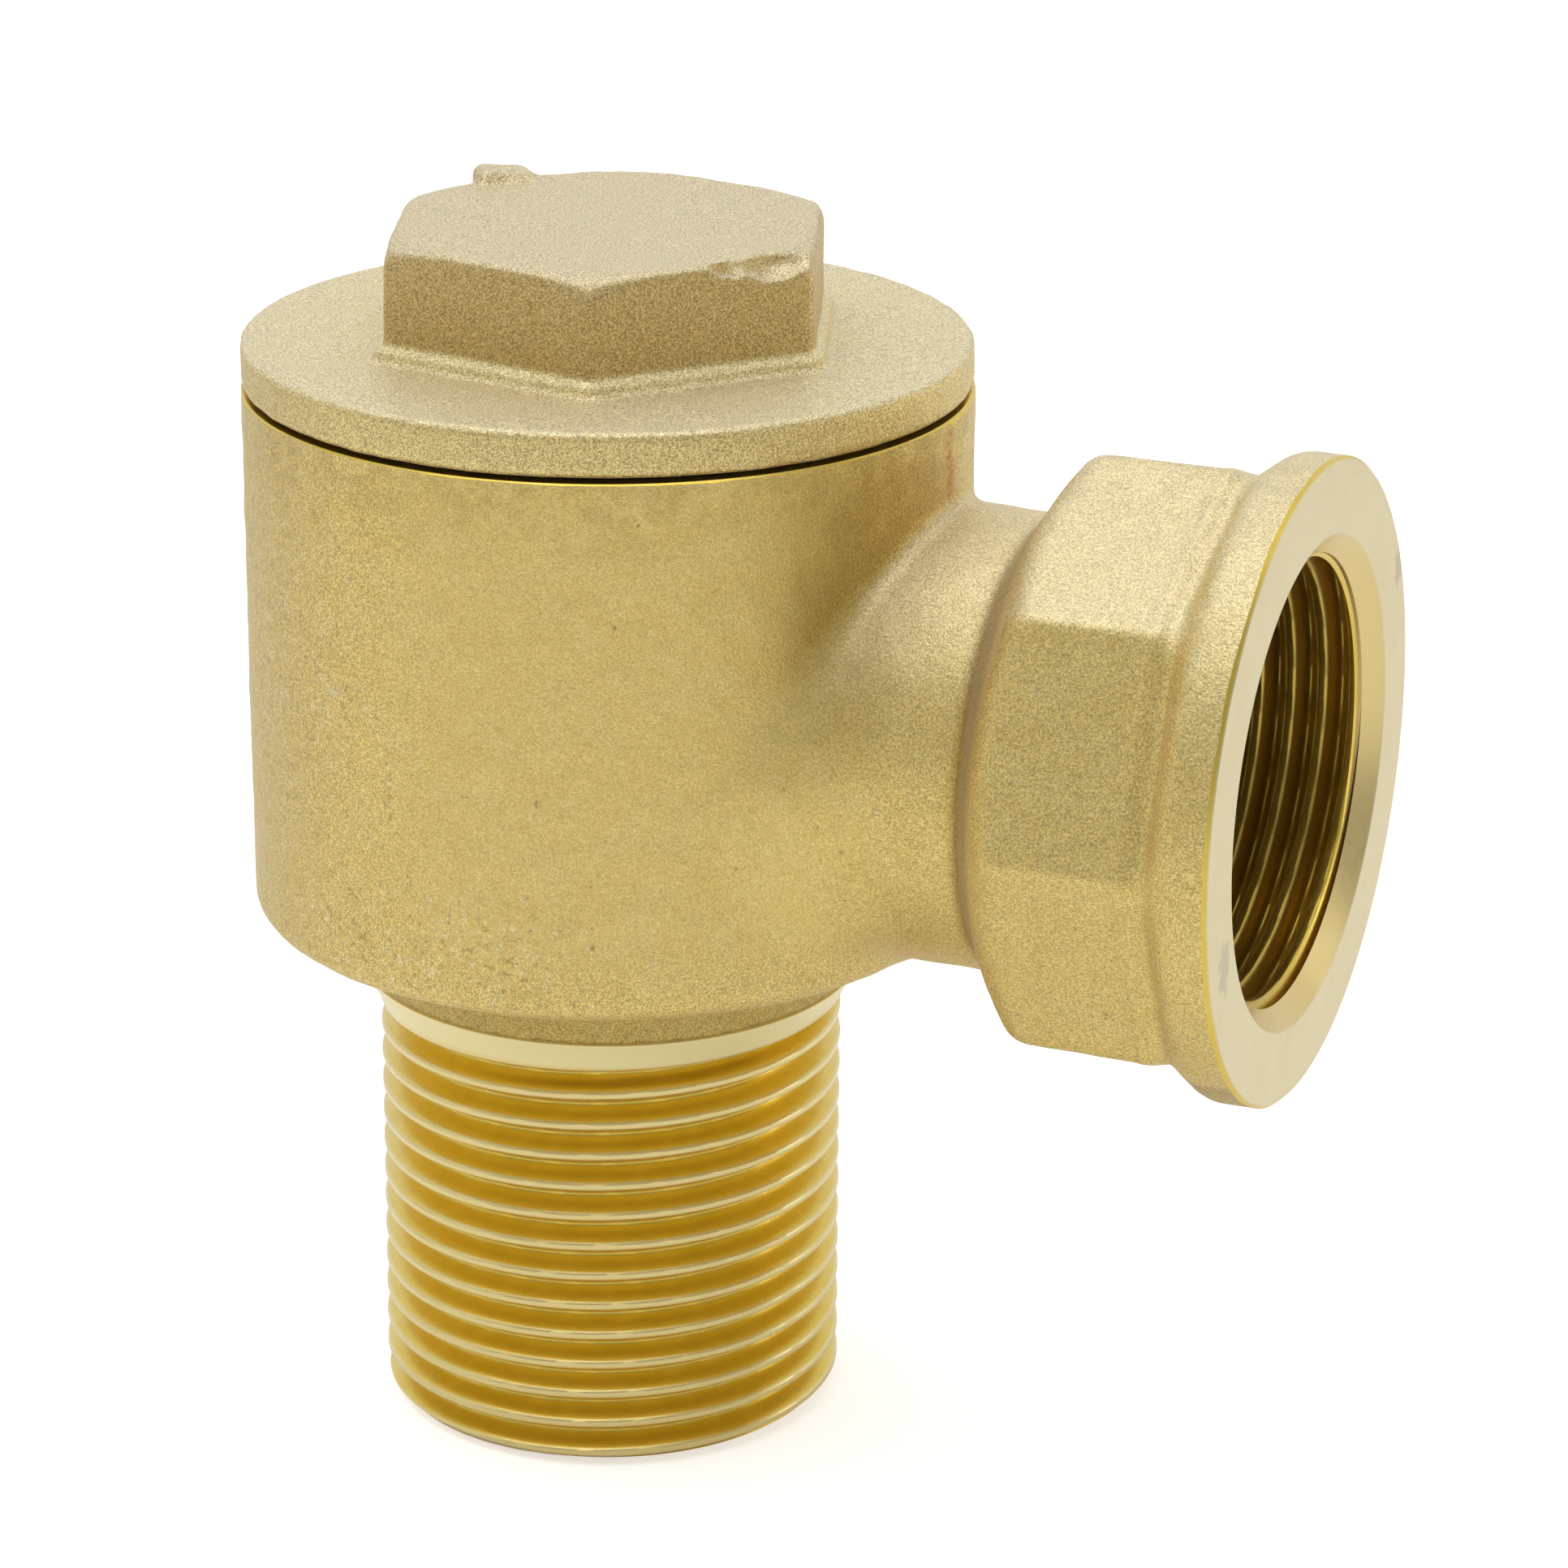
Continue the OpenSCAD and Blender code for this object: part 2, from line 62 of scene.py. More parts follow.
def part_box(node):
    """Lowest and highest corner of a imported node's box, in millimetres"""
    return [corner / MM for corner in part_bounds(node)]


# Main sizes in millimetres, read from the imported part
body_high = part_box("body")[1]
bonnet_low, bonnet_high = part_box("bonnet")
gasket_low, gasket_high = part_box("bonnet_gasket")
bellows_low, bellows_high = part_box("bellows")
spring_high = part_box("override_spring")[1]
HEAD_PLATE_TOP = part_box("head_plate")[1].z
CUP_TOP = part_box("spring_cup")[1].z
mounts = {m["name"]: m for m in frame["record"]["mounts"]}
PORT_Z = mounts["side_port"]["pos_m"][2] / MM
PORT_X = body_high.x
THREAD_R = mounts["bottom_thread"]["dims"]["r_mm"]
MINOR_R = mounts["side_port"]["dims"]["r_mm"]
BODY_R = body_high.y
BODY_TOP = body_high.z
FLANGE_LOW = gasket_high.z
HEX_TOP = bonnet_high.z
SKIRT_LOW = bonnet_low.z

# Cast body and side port, in millimetres
PITCH = 2.309
BODY_BOTTOM = 37.6
BODY_ROUND = 1.6
NECK_R = 17.85
NECK_LOW = 33.1
NECK_OVERLAP = 5
NECK_FILLET = 0.8
BAND_LOW = 31.0
BAND_LOW_R = THREAD_R + 0.2
TUBE_R = 15.9
SHOULDER_X = 32.4
SHOULDER_SLOPE = 4.5 / 2.9
OCTAGON_AF = 39.9
OCTAGON_TURN = math.radians(20)
OCTAGON_EDGE = 1.1
OCTAGON_ROUND = 1.0
OCTAGON_FILLET = 0.45
OCTAGON_END = 46.4
GROOVE_R = 19.6
GROOVE_FILLET = 1.1
CORE_INSET = 0.8
CORE_EDGE = 4.0
CORE_OVERLAP = 0.4
RIM_R = 22.2
RIM_BACK = 47.75
RIM_ROUND = 1.7
RIM_FILLET = 1.4
PARTING_STEP = 0.14
PARTING_FADES = (26, 31)
# Stock left on the casting for the turned faces to be cut from
TOP_STOCK = 1.5
PORT_STOCK = 1

# Fillet between body and port, by where it is round the port
FILLET_BELOW = 0.8
FILLET_SIDE_ADDS = 3.9
FILLET_TOP_TAKES = 3.4

# Bonnet, in millimetres
FLANGE_TOP = FLANGE_LOW + 3.0
FLANGE_ROUND = 0.5
FLANGE_CHAMFER = 0.32
FLANGE_STOCK = 0.8
PLINTH_WIDER = 1.15
PLINTH_H = 0.95
PLINTH_EDGE = 1.2
PLINTH_ROUND = 0.4
PLINTH_FILLET = 0.65
HEX_AF = 29.3
HEX_TURN_DEG = 20.2
HEX_TURN = math.radians(HEX_TURN_DEG)
HEX_EDGE = 0.9
HEX_TOP_ROUND = 0.55
HEX_TAPER = 0.1
HEX_TAPER_H = 4
HEX_FILLET = 0.4
CORNER_SLOPE = math.radians(35)
CORNER_REACH = 0.95
CORNER_ROUND = 0.8

# Stump of the pouring gate: way its face looks in degrees, place on it, half sizes and edge radius
GATE_TURN = HEX_TURN_DEG + 120
GATE_ALONG = 1.2
GATE_OUT = 14.6
GATE_DROP = 0.8
GATE_HALF_W = 1.5
GATE_HALF_D = 0.9
GATE_HALF_H = 0.6
GATE_ROUND = 0.8
GATE_FILLET = 0.5
GATE_SKEW = 0.25
GATE_TILT = 0.1

# Chipped edge: way its face looks in degrees, and for each bite the place along it and the radius
CHIP_TURN = HEX_TURN_DEG - 60
CHIP_BITES = ((1.6, 0.95), (3.0, 1.25), (4.4, 1.4), (5.9, 1.85), (7.3, 1.5))
CHIP_OUT = 14.8
CHIP_RISE = 0.25
CHIP_STRETCH = 0.8

# Waviness of the cast skins: height, length and seed of each layer
BODY_WAVES = ((0.04, 9, 3), (0.018, 3.5, 4), (0.014, 1.3, 5))
BONNET_WAVES = ((0.045, 7, 13), (0.03, 2.6, 14), (0.016, 1.1, 15))

# Turned bores, in millimetres; the hidden ones follow the CAD model
INLET_R = 12
INLET_MOUTH_R = 12.7
INLET_CHAMFER_TOP = 0.6
SEAT_HOLE_R = 11.05
SEAT_HOLE_LOW = 31.5
CHAMBER_R = 21
CHAMBER_FLOOR = 41.6
BONNET_BORE_R = 22.5
BONNET_BORE_LOW = BODY_TOP - 9
RECESS_R = 24.1
RECESS_CHAMFER = 0.12
TOP_CHAMFER = 0.25
PASSAGE_R = 12
PASSAGE_START = 15
STRAINER_R = 15.6
STRAINER_SEAT = 34.4
RING_GROOVE_R = 16.3
RING_GROOVE = (35.2, 36.3)
RELIEF_END = 38.3
THREAD_PILOT_R = 14
SKIRT_R = 22.45
SKIRT_INNER_R = 19
SKIRT_CHAMFER = 0.7
POCKET_R = 10
GASKET_INNER_R = 22.54
CLEAR = 3

# Threads: points round the axis, row height, and the bonnet's pitch
MALE_STEPS = 288
FEMALE_STEPS = 256
SKIRT_STEPS = 240
THREAD_ROW = 0.1
SKIRT_ROW = 0.09
THREAD_DEPTH = THREAD_R - MINOR_R
THREAD_START = 28.78 + PITCH * 65 / 360
SKIRT_PITCH = 1.5
SKIRT_THREAD_DEPTH = 0.8

# Angles of the photograph's view
VIEW_AZIMUTH = math.radians(22.74)
VIEW_ELEVATION = math.radians(19.98)
VIEW_ROLL = math.radians(0.412)


# ---------------------------------------------------------------- distance fields

def grid_axes(low, high, voxel):
    """Open grid of coordinates in millimetres, snapped to whole voxels"""
    axes = []
    for a, b in zip(low, high):
        axes.append(np.arange(round(a / voxel), round(b / voxel), dtype=np.float32) * np.float32(voxel))
    return axes[0][:, None, None], axes[1][None, :, None], axes[2][None, None, :]


def round_union(a, b, r):
    inside = np.hypot(np.maximum(r - a, 0), np.maximum(r - b, 0))
    return np.maximum(r, np.minimum(a, b)) - inside


def round_meet(a, b, r):
    outside = np.hypot(np.maximum(r + a, 0), np.maximum(r + b, 0))
    return np.minimum(-r, np.maximum(a, b)) + outside


def smooth(x, low, high):
    t = np.clip((x - low) / (high - low), 0, 1)
    return t * t * (3 - 2 * t)


def polygon(u, v, sides, across, turn, edge):
    """Distance to a regular polygon with rounded corners; turn is the way one flat faces"""
    part = 2 * math.pi / sides
    angle = np.mod(np.arctan2(v, u) - turn + part / 2, part) - part / 2
    reach = np.hypot(u, v)
    flat = across / 2 - edge
    dx = reach * np.cos(angle) - flat
    dy = np.maximum(np.abs(reach * np.sin(angle)) - flat * math.tan(part / 2), 0)
    return np.where(dx > 0, np.hypot(dx, dy), np.maximum(dx, dy)) - edge


def waves(x, y, z, length, seed):
    """Cheap smooth waviness between -1 and 1, made of a few crossed sines"""
    rng = np.random.default_rng(seed)
    count = 5
    total = 0
    for _ in range(count):
        k = rng.normal(size=3)
        k = k / np.linalg.norm(k) * 2 * math.pi / (length * rng.uniform(0.7, 1.4))
        total = total + np.sin(k[0] * x + k[1] * y + k[2] * z + rng.uniform(0, 6.28))
    return total / count


def cast_skin(x, y, z, layers):
    return sum(height * waves(x, y, z, length, seed) for height, length, seed in layers)


def mesh_object(name, points, faces):
    mesh = bpy.data.meshes.new(name)
    mesh.from_pydata(points, [], faces)
    mesh.validate()
    obj = bpy.data.objects.new(name, mesh)
    bpy.context.scene.collection.objects.link(obj)
    return obj


def field_object(name, distance, low, voxel):
    """Closed mesh, in millimetres, of the surface where the distance is zero"""
    band = 3 * voxel
    field = vdb.FloatGrid(band)
    values = np.ascontiguousarray(np.clip(distance, -band, band).astype(np.float32))
    field.copyFromArray(values, ijk=tuple(int(round(a / voxel)) for a in low))
    field.transform = vdb.createLinearTransform(voxelSize=voxel)
    points, quads = field.convertToQuads(0.0)
    mesh = bpy.data.meshes.new(name)
    mesh.vertices.add(len(points))
    mesh.vertices.foreach_set("co", points.astype(np.float32).ravel())
    mesh.loops.add(quads.size)
    mesh.loops.foreach_set("vertex_index", quads.astype(np.int32).ravel())
    mesh.polygons.add(len(quads))
    mesh.polygons.foreach_set("loop_start", np.arange(0, quads.size, 4, dtype=np.int32))
    mesh.update(calc_edges=True)
    mesh.validate()
    obj = bpy.data.objects.new(name, mesh)
    bpy.context.scene.collection.objects.link(obj)
    return obj


def main_body(axis_r, z):
    body = round_meet(axis_r - BODY_R, BODY_BOTTOM - z, BODY_ROUND)
    body = np.maximum(body, z - (BODY_TOP + TOP_STOCK))
    neck = np.maximum(axis_r - NECK_R, NECK_LOW - z)
    neck = np.maximum(neck, z - (BODY_BOTTOM + NECK_OVERLAP))
    return round_union(body, neck, NECK_FILLET)


def port_fillet(up, port_r):
    """Radius of the fillet between body and port: wide at the sides, tight below and on top"""
    cosine = up / np.maximum(port_r, 0.01)
    fillet = FILLET_BELOW + FILLET_SIDE_ADDS * smooth(cosine, -0.95, -0.6)
    return fillet - FILLET_TOP_TAKES * smooth(cosine, -0.1, 0.6)


def octagon(x, y, up, port_r):
    """Octagon of the side port, with a coned shoulder towards the body"""
    flats = polygon(-y, up, 8, OCTAGON_AF, OCTAGON_TURN, OCTAGON_EDGE)
    cone = (port_r - TUBE_R - (x - SHOULDER_X) * SHOULDER_SLOPE) / math.hypot(1, SHOULDER_SLOPE)
    block = round_meet(flats, cone, OCTAGON_ROUND)
    return round_meet(block, x - OCTAGON_END, OCTAGON_ROUND)


def groove_core(x, y, up, port_r):
    """Bottom of the groove between octagon and rim"""
    inset = polygon(-y, up, 8, OCTAGON_AF - CORE_INSET, OCTAGON_TURN, CORE_EDGE)
    core = np.minimum(port_r - GROOVE_R, inset)
    return np.maximum(np.maximum(core, x - PORT_X - PORT_STOCK), OCTAGON_END - CORE_OVERLAP - x)


def casting_distance(x, y, z):
    up = z - PORT_Z
    port_r = np.hypot(y, up)
    tube = np.maximum(np.maximum(port_r - TUBE_R, x - OCTAGON_END), -x)
    bead = round_meet(port_r - RIM_R, RIM_BACK - x, RIM_ROUND)
    bead = np.maximum(bead, x - PORT_X - PORT_STOCK)
    shape = main_body(np.hypot(x, y), z)
    shape = round_union(shape, tube, port_fillet(up, port_r))
    shape = round_union(shape, octagon(x, y, up, port_r), OCTAGON_FILLET)
    shape = round_union(shape, groove_core(x, y, up, port_r), GROOVE_FILLET)
    shape = round_union(shape, bead, RIM_FILLET)
    shape = shape - PARTING_STEP * smooth(y, -0.15, 0.2) * (1 - smooth(x, *PARTING_FADES))
    return shape + cast_skin(x, y, z, BODY_WAVES)


def hexagon_head(x, y, z, axis_r):
    """Hexagon with a slight taper, its top corners turned off at a slope"""
    width = HEX_AF - HEX_TAPER * (z - FLANGE_TOP) / HEX_TAPER_H
    head = polygon(x, y, 6, width, HEX_TURN, HEX_EDGE)
    dip = (axis_r - HEX_AF / 2 - CORNER_REACH) * math.sin(CORNER_SLOPE)
    dip = dip + (z - HEX_TOP) * math.cos(CORNER_SLOPE)
    head = round_meet(head, z - HEX_TOP, HEX_TOP_ROUND)
    return round_meet(head, dip, CORNER_ROUND)


def bonnet_distance(x, y, z):
    axis_r = np.hypot(x, y)
    flange = round_meet(axis_r - BODY_R, z - FLANGE_TOP - 0.05, FLANGE_ROUND)
    flange = np.maximum(flange, (axis_r - BODY_R + FLANGE_CHAMFER + FLANGE_LOW - z) * math.sqrt(0.5))
    plinth = polygon(x, y, 6, HEX_AF + PLINTH_WIDER, HEX_TURN, PLINTH_EDGE)
    plinth = round_meet(plinth, z - FLANGE_TOP - PLINTH_H, PLINTH_ROUND)
    shape = round_union(flange, plinth, PLINTH_FILLET)
    shape = round_union(shape, hexagon_head(x, y, z, axis_r), HEX_FILLET)
    shape = round_union(shape, gate_stub(x, y, z), GATE_FILLET)
    shape = np.maximum(shape, -chipped_edge(x, y, z))
    shape = np.maximum(shape, FLANGE_LOW - FLANGE_STOCK - z)
    return shape + cast_skin(x, y, z, BONNET_WAVES)


def on_face(x, y, turn):
    """Distance out along a hexagon face's normal, and along the face, for a face that looks turn degrees"""
    a = math.radians(turn)
    return x * math.cos(a) + y * math.sin(a), -x * math.sin(a) + y * math.cos(a)


def gate_stub(x, y, z):
    """Stump of the pouring gate, broken off on the back left face"""
    out, along = on_face(x, y, GATE_TURN)
    across = np.abs(along - GATE_ALONG + GATE_SKEW * (out - 14.4)) - GATE_HALF_W
    depth = np.abs(out - GATE_OUT) - GATE_HALF_D
    height = np.abs(z - HEX_TOP + GATE_DROP - GATE_TILT * along) - GATE_HALF_H
    outside = np.hypot(np.hypot(np.maximum(across, 0), np.maximum(depth, 0)), np.maximum(height, 0))
    within = np.minimum(np.maximum(np.maximum(across, depth), height), 0)
    return outside + within - GATE_ROUND + 0.1 * waves(x, y, z, 2.4, 31)


def chipped_edge(x, y, z):
    """Ragged break along the top edge of the front right face"""
    out, along = on_face(x, y, CHIP_TURN)
    rag = 0.34 * waves(x, y, z, 2.8, 23) + 0.1 * waves(x, y, z, 1.2, 24)
    chip = 99.0
    for at, size in CHIP_BITES:
        far = (out - CHIP_OUT) ** 2 + (along - at) ** 2 * CHIP_STRETCH + (z - HEX_TOP - CHIP_RISE) ** 2
        far = np.sqrt(far)
        chip = np.minimum(chip, far - size)
    return chip + rag


# ---------------------------------------------------------------- turned shapes

def revolve(name, radii, heights, along_port=False):
    """Closed solid of revolution in millimetres; radii may change round the axis, one row per height"""
    radii = np.asarray(radii, float)
    heights = np.asarray(heights, float)
    rows, steps = radii.shape
    turn = np.arange(steps) * 2 * math.pi / steps
    ring = np.stack([radii * np.cos(turn), radii * np.sin(turn),
                     np.repeat(heights[:, None], steps, 1)], -1).reshape(-1, 3)
    points = np.vstack([ring, [[0, 0, heights[0]], [0, 0, heights[-1]]]])
    i = np.arange(rows - 1)[:, None] * steps
    j = np.arange(steps)[None, :]
    k = (j + 1) % steps
    sides = np.stack([i + j, i + k, i + k + steps, i + j + steps], -1).reshape(-1, 4).tolist()
    low = rows * steps
    top = (rows - 1) * steps
    caps = []
    for a in range(steps):
        b = (a + 1) % steps
        caps.append([low, b, a])
        caps.append([low + 1, top + a, top + b])
    if along_port:
        points = np.stack([points[:, 2], points[:, 1], PORT_Z - points[:, 0]], -1)
    return mesh_object(name, points.tolist(), sides + caps)


def profile_solid(name, profile, steps=192, along_port=False):
    """Solid of revolution from a list of (radius, height), lowest first"""
    radii = [[r] * steps for r, _ in profile]
    return revolve(name, radii, [h for _, h in profile], along_port)


def groove_depth(heights, steps, start, pitch, depth, crest, root):
    """Depth of a right-hand helical groove below the crests, one row per height; crest and root are flats"""
    turn = np.arange(steps) / steps
    phase = (heights[:, None] - start) / pitch - turn[None, :]
    off = np.abs(phase - np.round(phase)) * pitch
    return depth * smooth(off, crest / 2, (pitch - root) / 2)


def male_thread():
    top = NECK_LOW + 0.6
    heights = np.concatenate([np.arange(0, BAND_LOW, THREAD_ROW), [BAND_LOW, NECK_LOW, top]])
    groove = groove_depth(heights, MALE_STEPS, THREAD_START, PITCH, THREAD_DEPTH, crest=0.25, root=0.1)
    fade = smooth(BAND_LOW + 0.15 - heights, 0, 1.1)[:, None]
    radii = THREAD_R - groove * fade
    radii = radii + (BAND_LOW_R - THREAD_R) * (1 - fade)
    end_chamfer = THREAD_R - 0.9 + heights[:, None]
    radii = np.minimum(radii, end_chamfer)
    radii[-3] = BAND_LOW_R
    radii[-2] = NECK_R + 0.06
    radii[-1] = NECK_R - 1
    return revolve("male_thread", radii, heights)


def bore_cutter():
    """Inlet, seat hole, chamber, bonnet bore, gasket recess and turned top of the body"""
    outside = BODY_R + CLEAR
    return profile_solid("bore_cutter", [
        (INLET_MOUTH_R, -1), (INLET_MOUTH_R, 0),
        (INLET_R, INLET_CHAMFER_TOP), (INLET_R, SEAT_HOLE_LOW),
        (SEAT_HOLE_R, SEAT_HOLE_LOW), (SEAT_HOLE_R, CHAMBER_FLOOR),
        (CHAMBER_R, CHAMBER_FLOOR), (CHAMBER_R, BONNET_BORE_LOW),
        (BONNET_BORE_R, BONNET_BORE_LOW), (BONNET_BORE_R, gasket_low.z),
        (RECESS_R, gasket_low.z), (RECESS_R, BODY_TOP - RECESS_CHAMFER),
        (RECESS_R + RECESS_CHAMFER, BODY_TOP), (BODY_R - 0.1, BODY_TOP),
        (BODY_R + 0.15, BODY_TOP - TOP_CHAMFER), (outside, BODY_TOP - TOP_CHAMFER),
        (outside, BODY_TOP + CLEAR)])


def port_cutter():
    """Passage, strainer seat, ring groove, relief, countersunk mouth and turned face of the port"""
    outside = RIM_R + CLEAR
    ring_low, ring_high = RING_GROOVE
    return profile_solid("port_cutter", [
        (PASSAGE_R, PASSAGE_START), (PASSAGE_R, STRAINER_SEAT),
        (STRAINER_R, STRAINER_SEAT), (STRAINER_R, ring_low),
        (RING_GROOVE_R, ring_low), (RING_GROOVE_R, ring_high),
        (STRAINER_R, ring_high), (STRAINER_R, RELIEF_END),
        (STRAINER_R - 0.4, RELIEF_END + 0.4), (THREAD_PILOT_R, RELIEF_END + 0.4),
        (THREAD_PILOT_R, PORT_X - CLEAR), (15.1, PORT_X - 1.68),
        (15.5, PORT_X - 1.5), (15.55, PORT_X - 1.25),
        (16.95, PORT_X - 0.06), (17.01, PORT_X),
        (RIM_R - 0.3, PORT_X), (RIM_R + 0.1, PORT_X - 0.4),
        (outside, PORT_X - 3.3), (outside, PORT_X + CLEAR)], FEMALE_STEPS, True)


def female_thread_cutter():
    end = PORT_X - 1.2
    heights = np.arange(38.4, end, THREAD_ROW)
    groove = groove_depth(heights, FEMALE_STEPS, end, PITCH, THREAD_DEPTH, crest=0.1, root=0.4)
    return revolve("female_thread", THREAD_R - groove, heights, True)


def skirt_solid():
    """Screwed skirt under the bonnet's flange"""
    heights = np.arange(SKIRT_LOW, gasket_low.z, SKIRT_ROW)
    heights = np.concatenate([heights, [gasket_low.z, FLANGE_LOW, FLANGE_LOW + 0.7]])
    groove = groove_depth(heights, SKIRT_STEPS, SKIRT_LOW + 1, SKIRT_PITCH, SKIRT_THREAD_DEPTH,
                          crest=0.22, root=0.22)
    fade = smooth(gasket_low.z - heights, 0.1, 0.7)[:, None]
    radii = SKIRT_R - groove * fade
    radii = np.minimum(radii, SKIRT_R - SKIRT_CHAMFER + (heights[:, None] - SKIRT_LOW))
    return revolve("skirt", radii, heights)


def cavity_cutter():
    """Hollow of the skirt and the pocket in the hexagon"""
    roof = FLANGE_LOW - 0.1
    return profile_solid("cavity_cutter", [
        (SKIRT_INNER_R + 0.4, SKIRT_LOW - 1), (SKIRT_INNER_R + 0.4, SKIRT_LOW),
        (SKIRT_INNER_R, SKIRT_LOW + 0.4), (SKIRT_INNER_R, FLANGE_LOW - 0.5),
        (SKIRT_INNER_R - 0.4, roof), (POCKET_R + 0.3, roof),
        (POCKET_R, FLANGE_LOW + 0.2), (POCKET_R, FLANGE_TOP + 2),
        (POCKET_R - 0.5, FLANGE_TOP + 2.5)], 128)


def underside_cutter():
    """Turned underside of the flange"""
    return profile_solid("underside_cutter", [
        (BODY_R + 2, FLANGE_LOW - CLEAR), (BODY_R + 2, FLANGE_LOW), (BODY_R + 1.9, FLANGE_LOW)])


# ---------------------------------------------------------------- joining and finishing

def join(base, other, operation):
    bool_mod = base.modifiers.new("join", "BOOLEAN")
    bool_mod.operation = operation
    bool_mod.object = other
    bool_mod.solver = "MANIFOLD"
    bool_mod.material_mode = "TRANSFER"
    bpy.context.view_layer.update()
    graph = bpy.context.evaluated_depsgraph_get()
    mesh = bpy.data.meshes.new_from_object(base.evaluated_get(graph))
    base.modifiers.clear()
    old = base.data
    base.data = mesh
    bpy.data.meshes.remove(old)
    bpy.data.objects.remove(other)


def wear(obj, size, amount, seed):
    """Moves points along their normals by a little smooth noise"""
    count = len(obj.data.vertices)
    co = np.empty(count * 3, np.float32)
    obj.data.vertices.foreach_get("co", co)
    normal = np.empty(count * 3, np.float32)
    obj.data.vertex_normals.foreach_get("vector", normal)
    co = co.reshape(-1, 3)
    normal = normal.reshape(-1, 3)
    offset = Vector((seed, seed * 0.7, 0))
    shift = np.array([noise.noise(Vector(p) / size + offset) for p in co.tolist()], np.float32)
    co = co + normal * (shift * amount)[:, None]
    obj.data.vertices.foreach_set("co", co.ravel())
    obj.data.update()


def to_metres(obj, angle=32):
    obj.data.transform(Matrix.Scale(MM, 4))
    obj.data.polygons.foreach_set("use_smooth", [True] * len(obj.data.polygons))
    obj.data.set_sharp_from_angle(angle=math.radians(angle))
    obj.data.update()


def dress(obj, material):
    obj.data.materials.clear()
    obj.data.materials.append(material)
    return obj


# ---------------------------------------------------------------- materials

class Nodes:
    """Short hand for building one node material, with positions in millimetres"""

    def __init__(self, name):
        self.material = bpy.data.materials.new(name)
        self.material.use_nodes = True
        self.tree = self.material.node_tree
        self.tree.nodes.clear()
        place = self.tree.nodes.new("ShaderNodeTexCoord")
        self.point = self.vector("SCALE", place.outputs["Object"], scale=1 / MM)
        split = self.tree.nodes.new("ShaderNodeSeparateXYZ")
        self.link(self.point, split.inputs[0])
        self.x, self.y, self.z = split.outputs

    def link(self, source, socket):
        if isinstance(source, bpy.types.NodeSocket):
            self.tree.links.new(source, socket)
        else:
            socket.default_value = source

    def vector(self, operation, a, b=None, scale=None):
        node = self.tree.nodes.new("ShaderNodeVectorMath")
        node.operation = operation
        self.link(a, node.inputs[0])
        if b is not None:
            self.link(b, node.inputs[1])
        if scale is not None:
            self.link(scale, node.inputs["Scale"])
        return node.outputs["Value" if operation in ("LENGTH", "DISTANCE", "DOT_PRODUCT") else "Vector"]

    def math(self, operation, a, b=0.0):
        node = self.tree.nodes.new("ShaderNodeMath")
        node.operation = operation
        self.link(a, node.inputs[0])
        self.link(b, node.inputs[1])
        return node.outputs[0]

    def both(self, a, b):
        """Product of two masks, or a mask times a number"""
        return self.math("MULTIPLY", a, b)

    def either(self, a, b):
        """Greater of two masks"""
        return self.math("MAXIMUM", a, b)

    def combine(self, x=0.0, y=0.0, z=0.0):
        node = self.tree.nodes.new("ShaderNodeCombineXYZ")
        for source, socket in zip((x, y, z), node.inputs):
            self.link(source, socket)
        return node.outputs[0]

    def noise(self, size, detail=3.0, rough=0.55, point=None):
        """Noise between 0 and 1 whose lumps are about size millimetres"""
        node = self.tree.nodes.new("ShaderNodeTexNoise")
        node.inputs["Scale"].default_value = 1 / size
        node.inputs["Detail"].default_value = detail
        node.inputs["Roughness"].default_value = rough
        self.link(self.point if point is None else point, node.inputs["Vector"])
        return node.outputs["Fac"]

    def cells(self, size):
        """Distance to the nearest of scattered points, size millimetres apart"""
        node = self.tree.nodes.new("ShaderNodeTexVoronoi")
        node.inputs["Scale"].default_value = 1 / size
        self.link(self.point, node.inputs["Vector"])
        return node.outputs["Distance"]

    def span(self, value, low, high, to_low=0.0, to_high=1.0):
        """Smooth change from to_low to to_high while the value goes from low to high"""
        node = self.tree.nodes.new("ShaderNodeMapRange")
        node.interpolation_type = "SMOOTHSTEP"
        self.link(value, node.inputs["Value"])
        node.inputs["From Min"].default_value = low
        node.inputs["From Max"].default_value = high
        node.inputs["To Min"].default_value = to_low
        node.inputs["To Max"].default_value = to_high
        return node.outputs["Result"]

    def window(self, value, start, full, fading, gone):
        """Mask that rises from start to full and falls from fading to gone"""
        return self.both(self.span(value, start, full), self.span(value, gone, fading))

    def mix(self, factor, a, b, blend="MIX"):
        node = self.tree.nodes.new("ShaderNodeMix")
        node.data_type = "RGBA"
        node.blend_type = blend
        self.link(factor, node.inputs["Factor"])
        self.link(a if not isinstance(a, tuple) else (*a, 1), node.inputs["A"])
        self.link(b if not isinstance(b, tuple) else (*b, 1), node.inputs["B"])
        return node.outputs["Result"]

    def tint(self, colour, mask, share, target):
        """Takes the colour the given share of the way to the target where the mask is set"""
        return self.mix(self.both(mask, share), colour, target)

    def patch(self, centre, size, ragged=0.35, lump=2.5):
        """Soft ragged spot: 1 at centre, 0 outside; size is its three half widths in millimetres"""
        away = self.vector("SUBTRACT", self.point, centre)
        away = self.vector("DIVIDE", away, size)
        reach = self.vector("LENGTH", away)
        rag = self.both(self.math("SUBTRACT", self.noise(lump, 4.0), 0.5), ragged * 4)
        return self.span(self.math("ADD", reach, rag), 1.15, 0.45)

    def port_radius(self):
        return self.vector("LENGTH", self.combine(y=self.y, z=self.math("SUBTRACT", self.z, PORT_Z)))

    def axis_radius(self):
        return self.vector("LENGTH", self.combine(x=self.x, y=self.y))

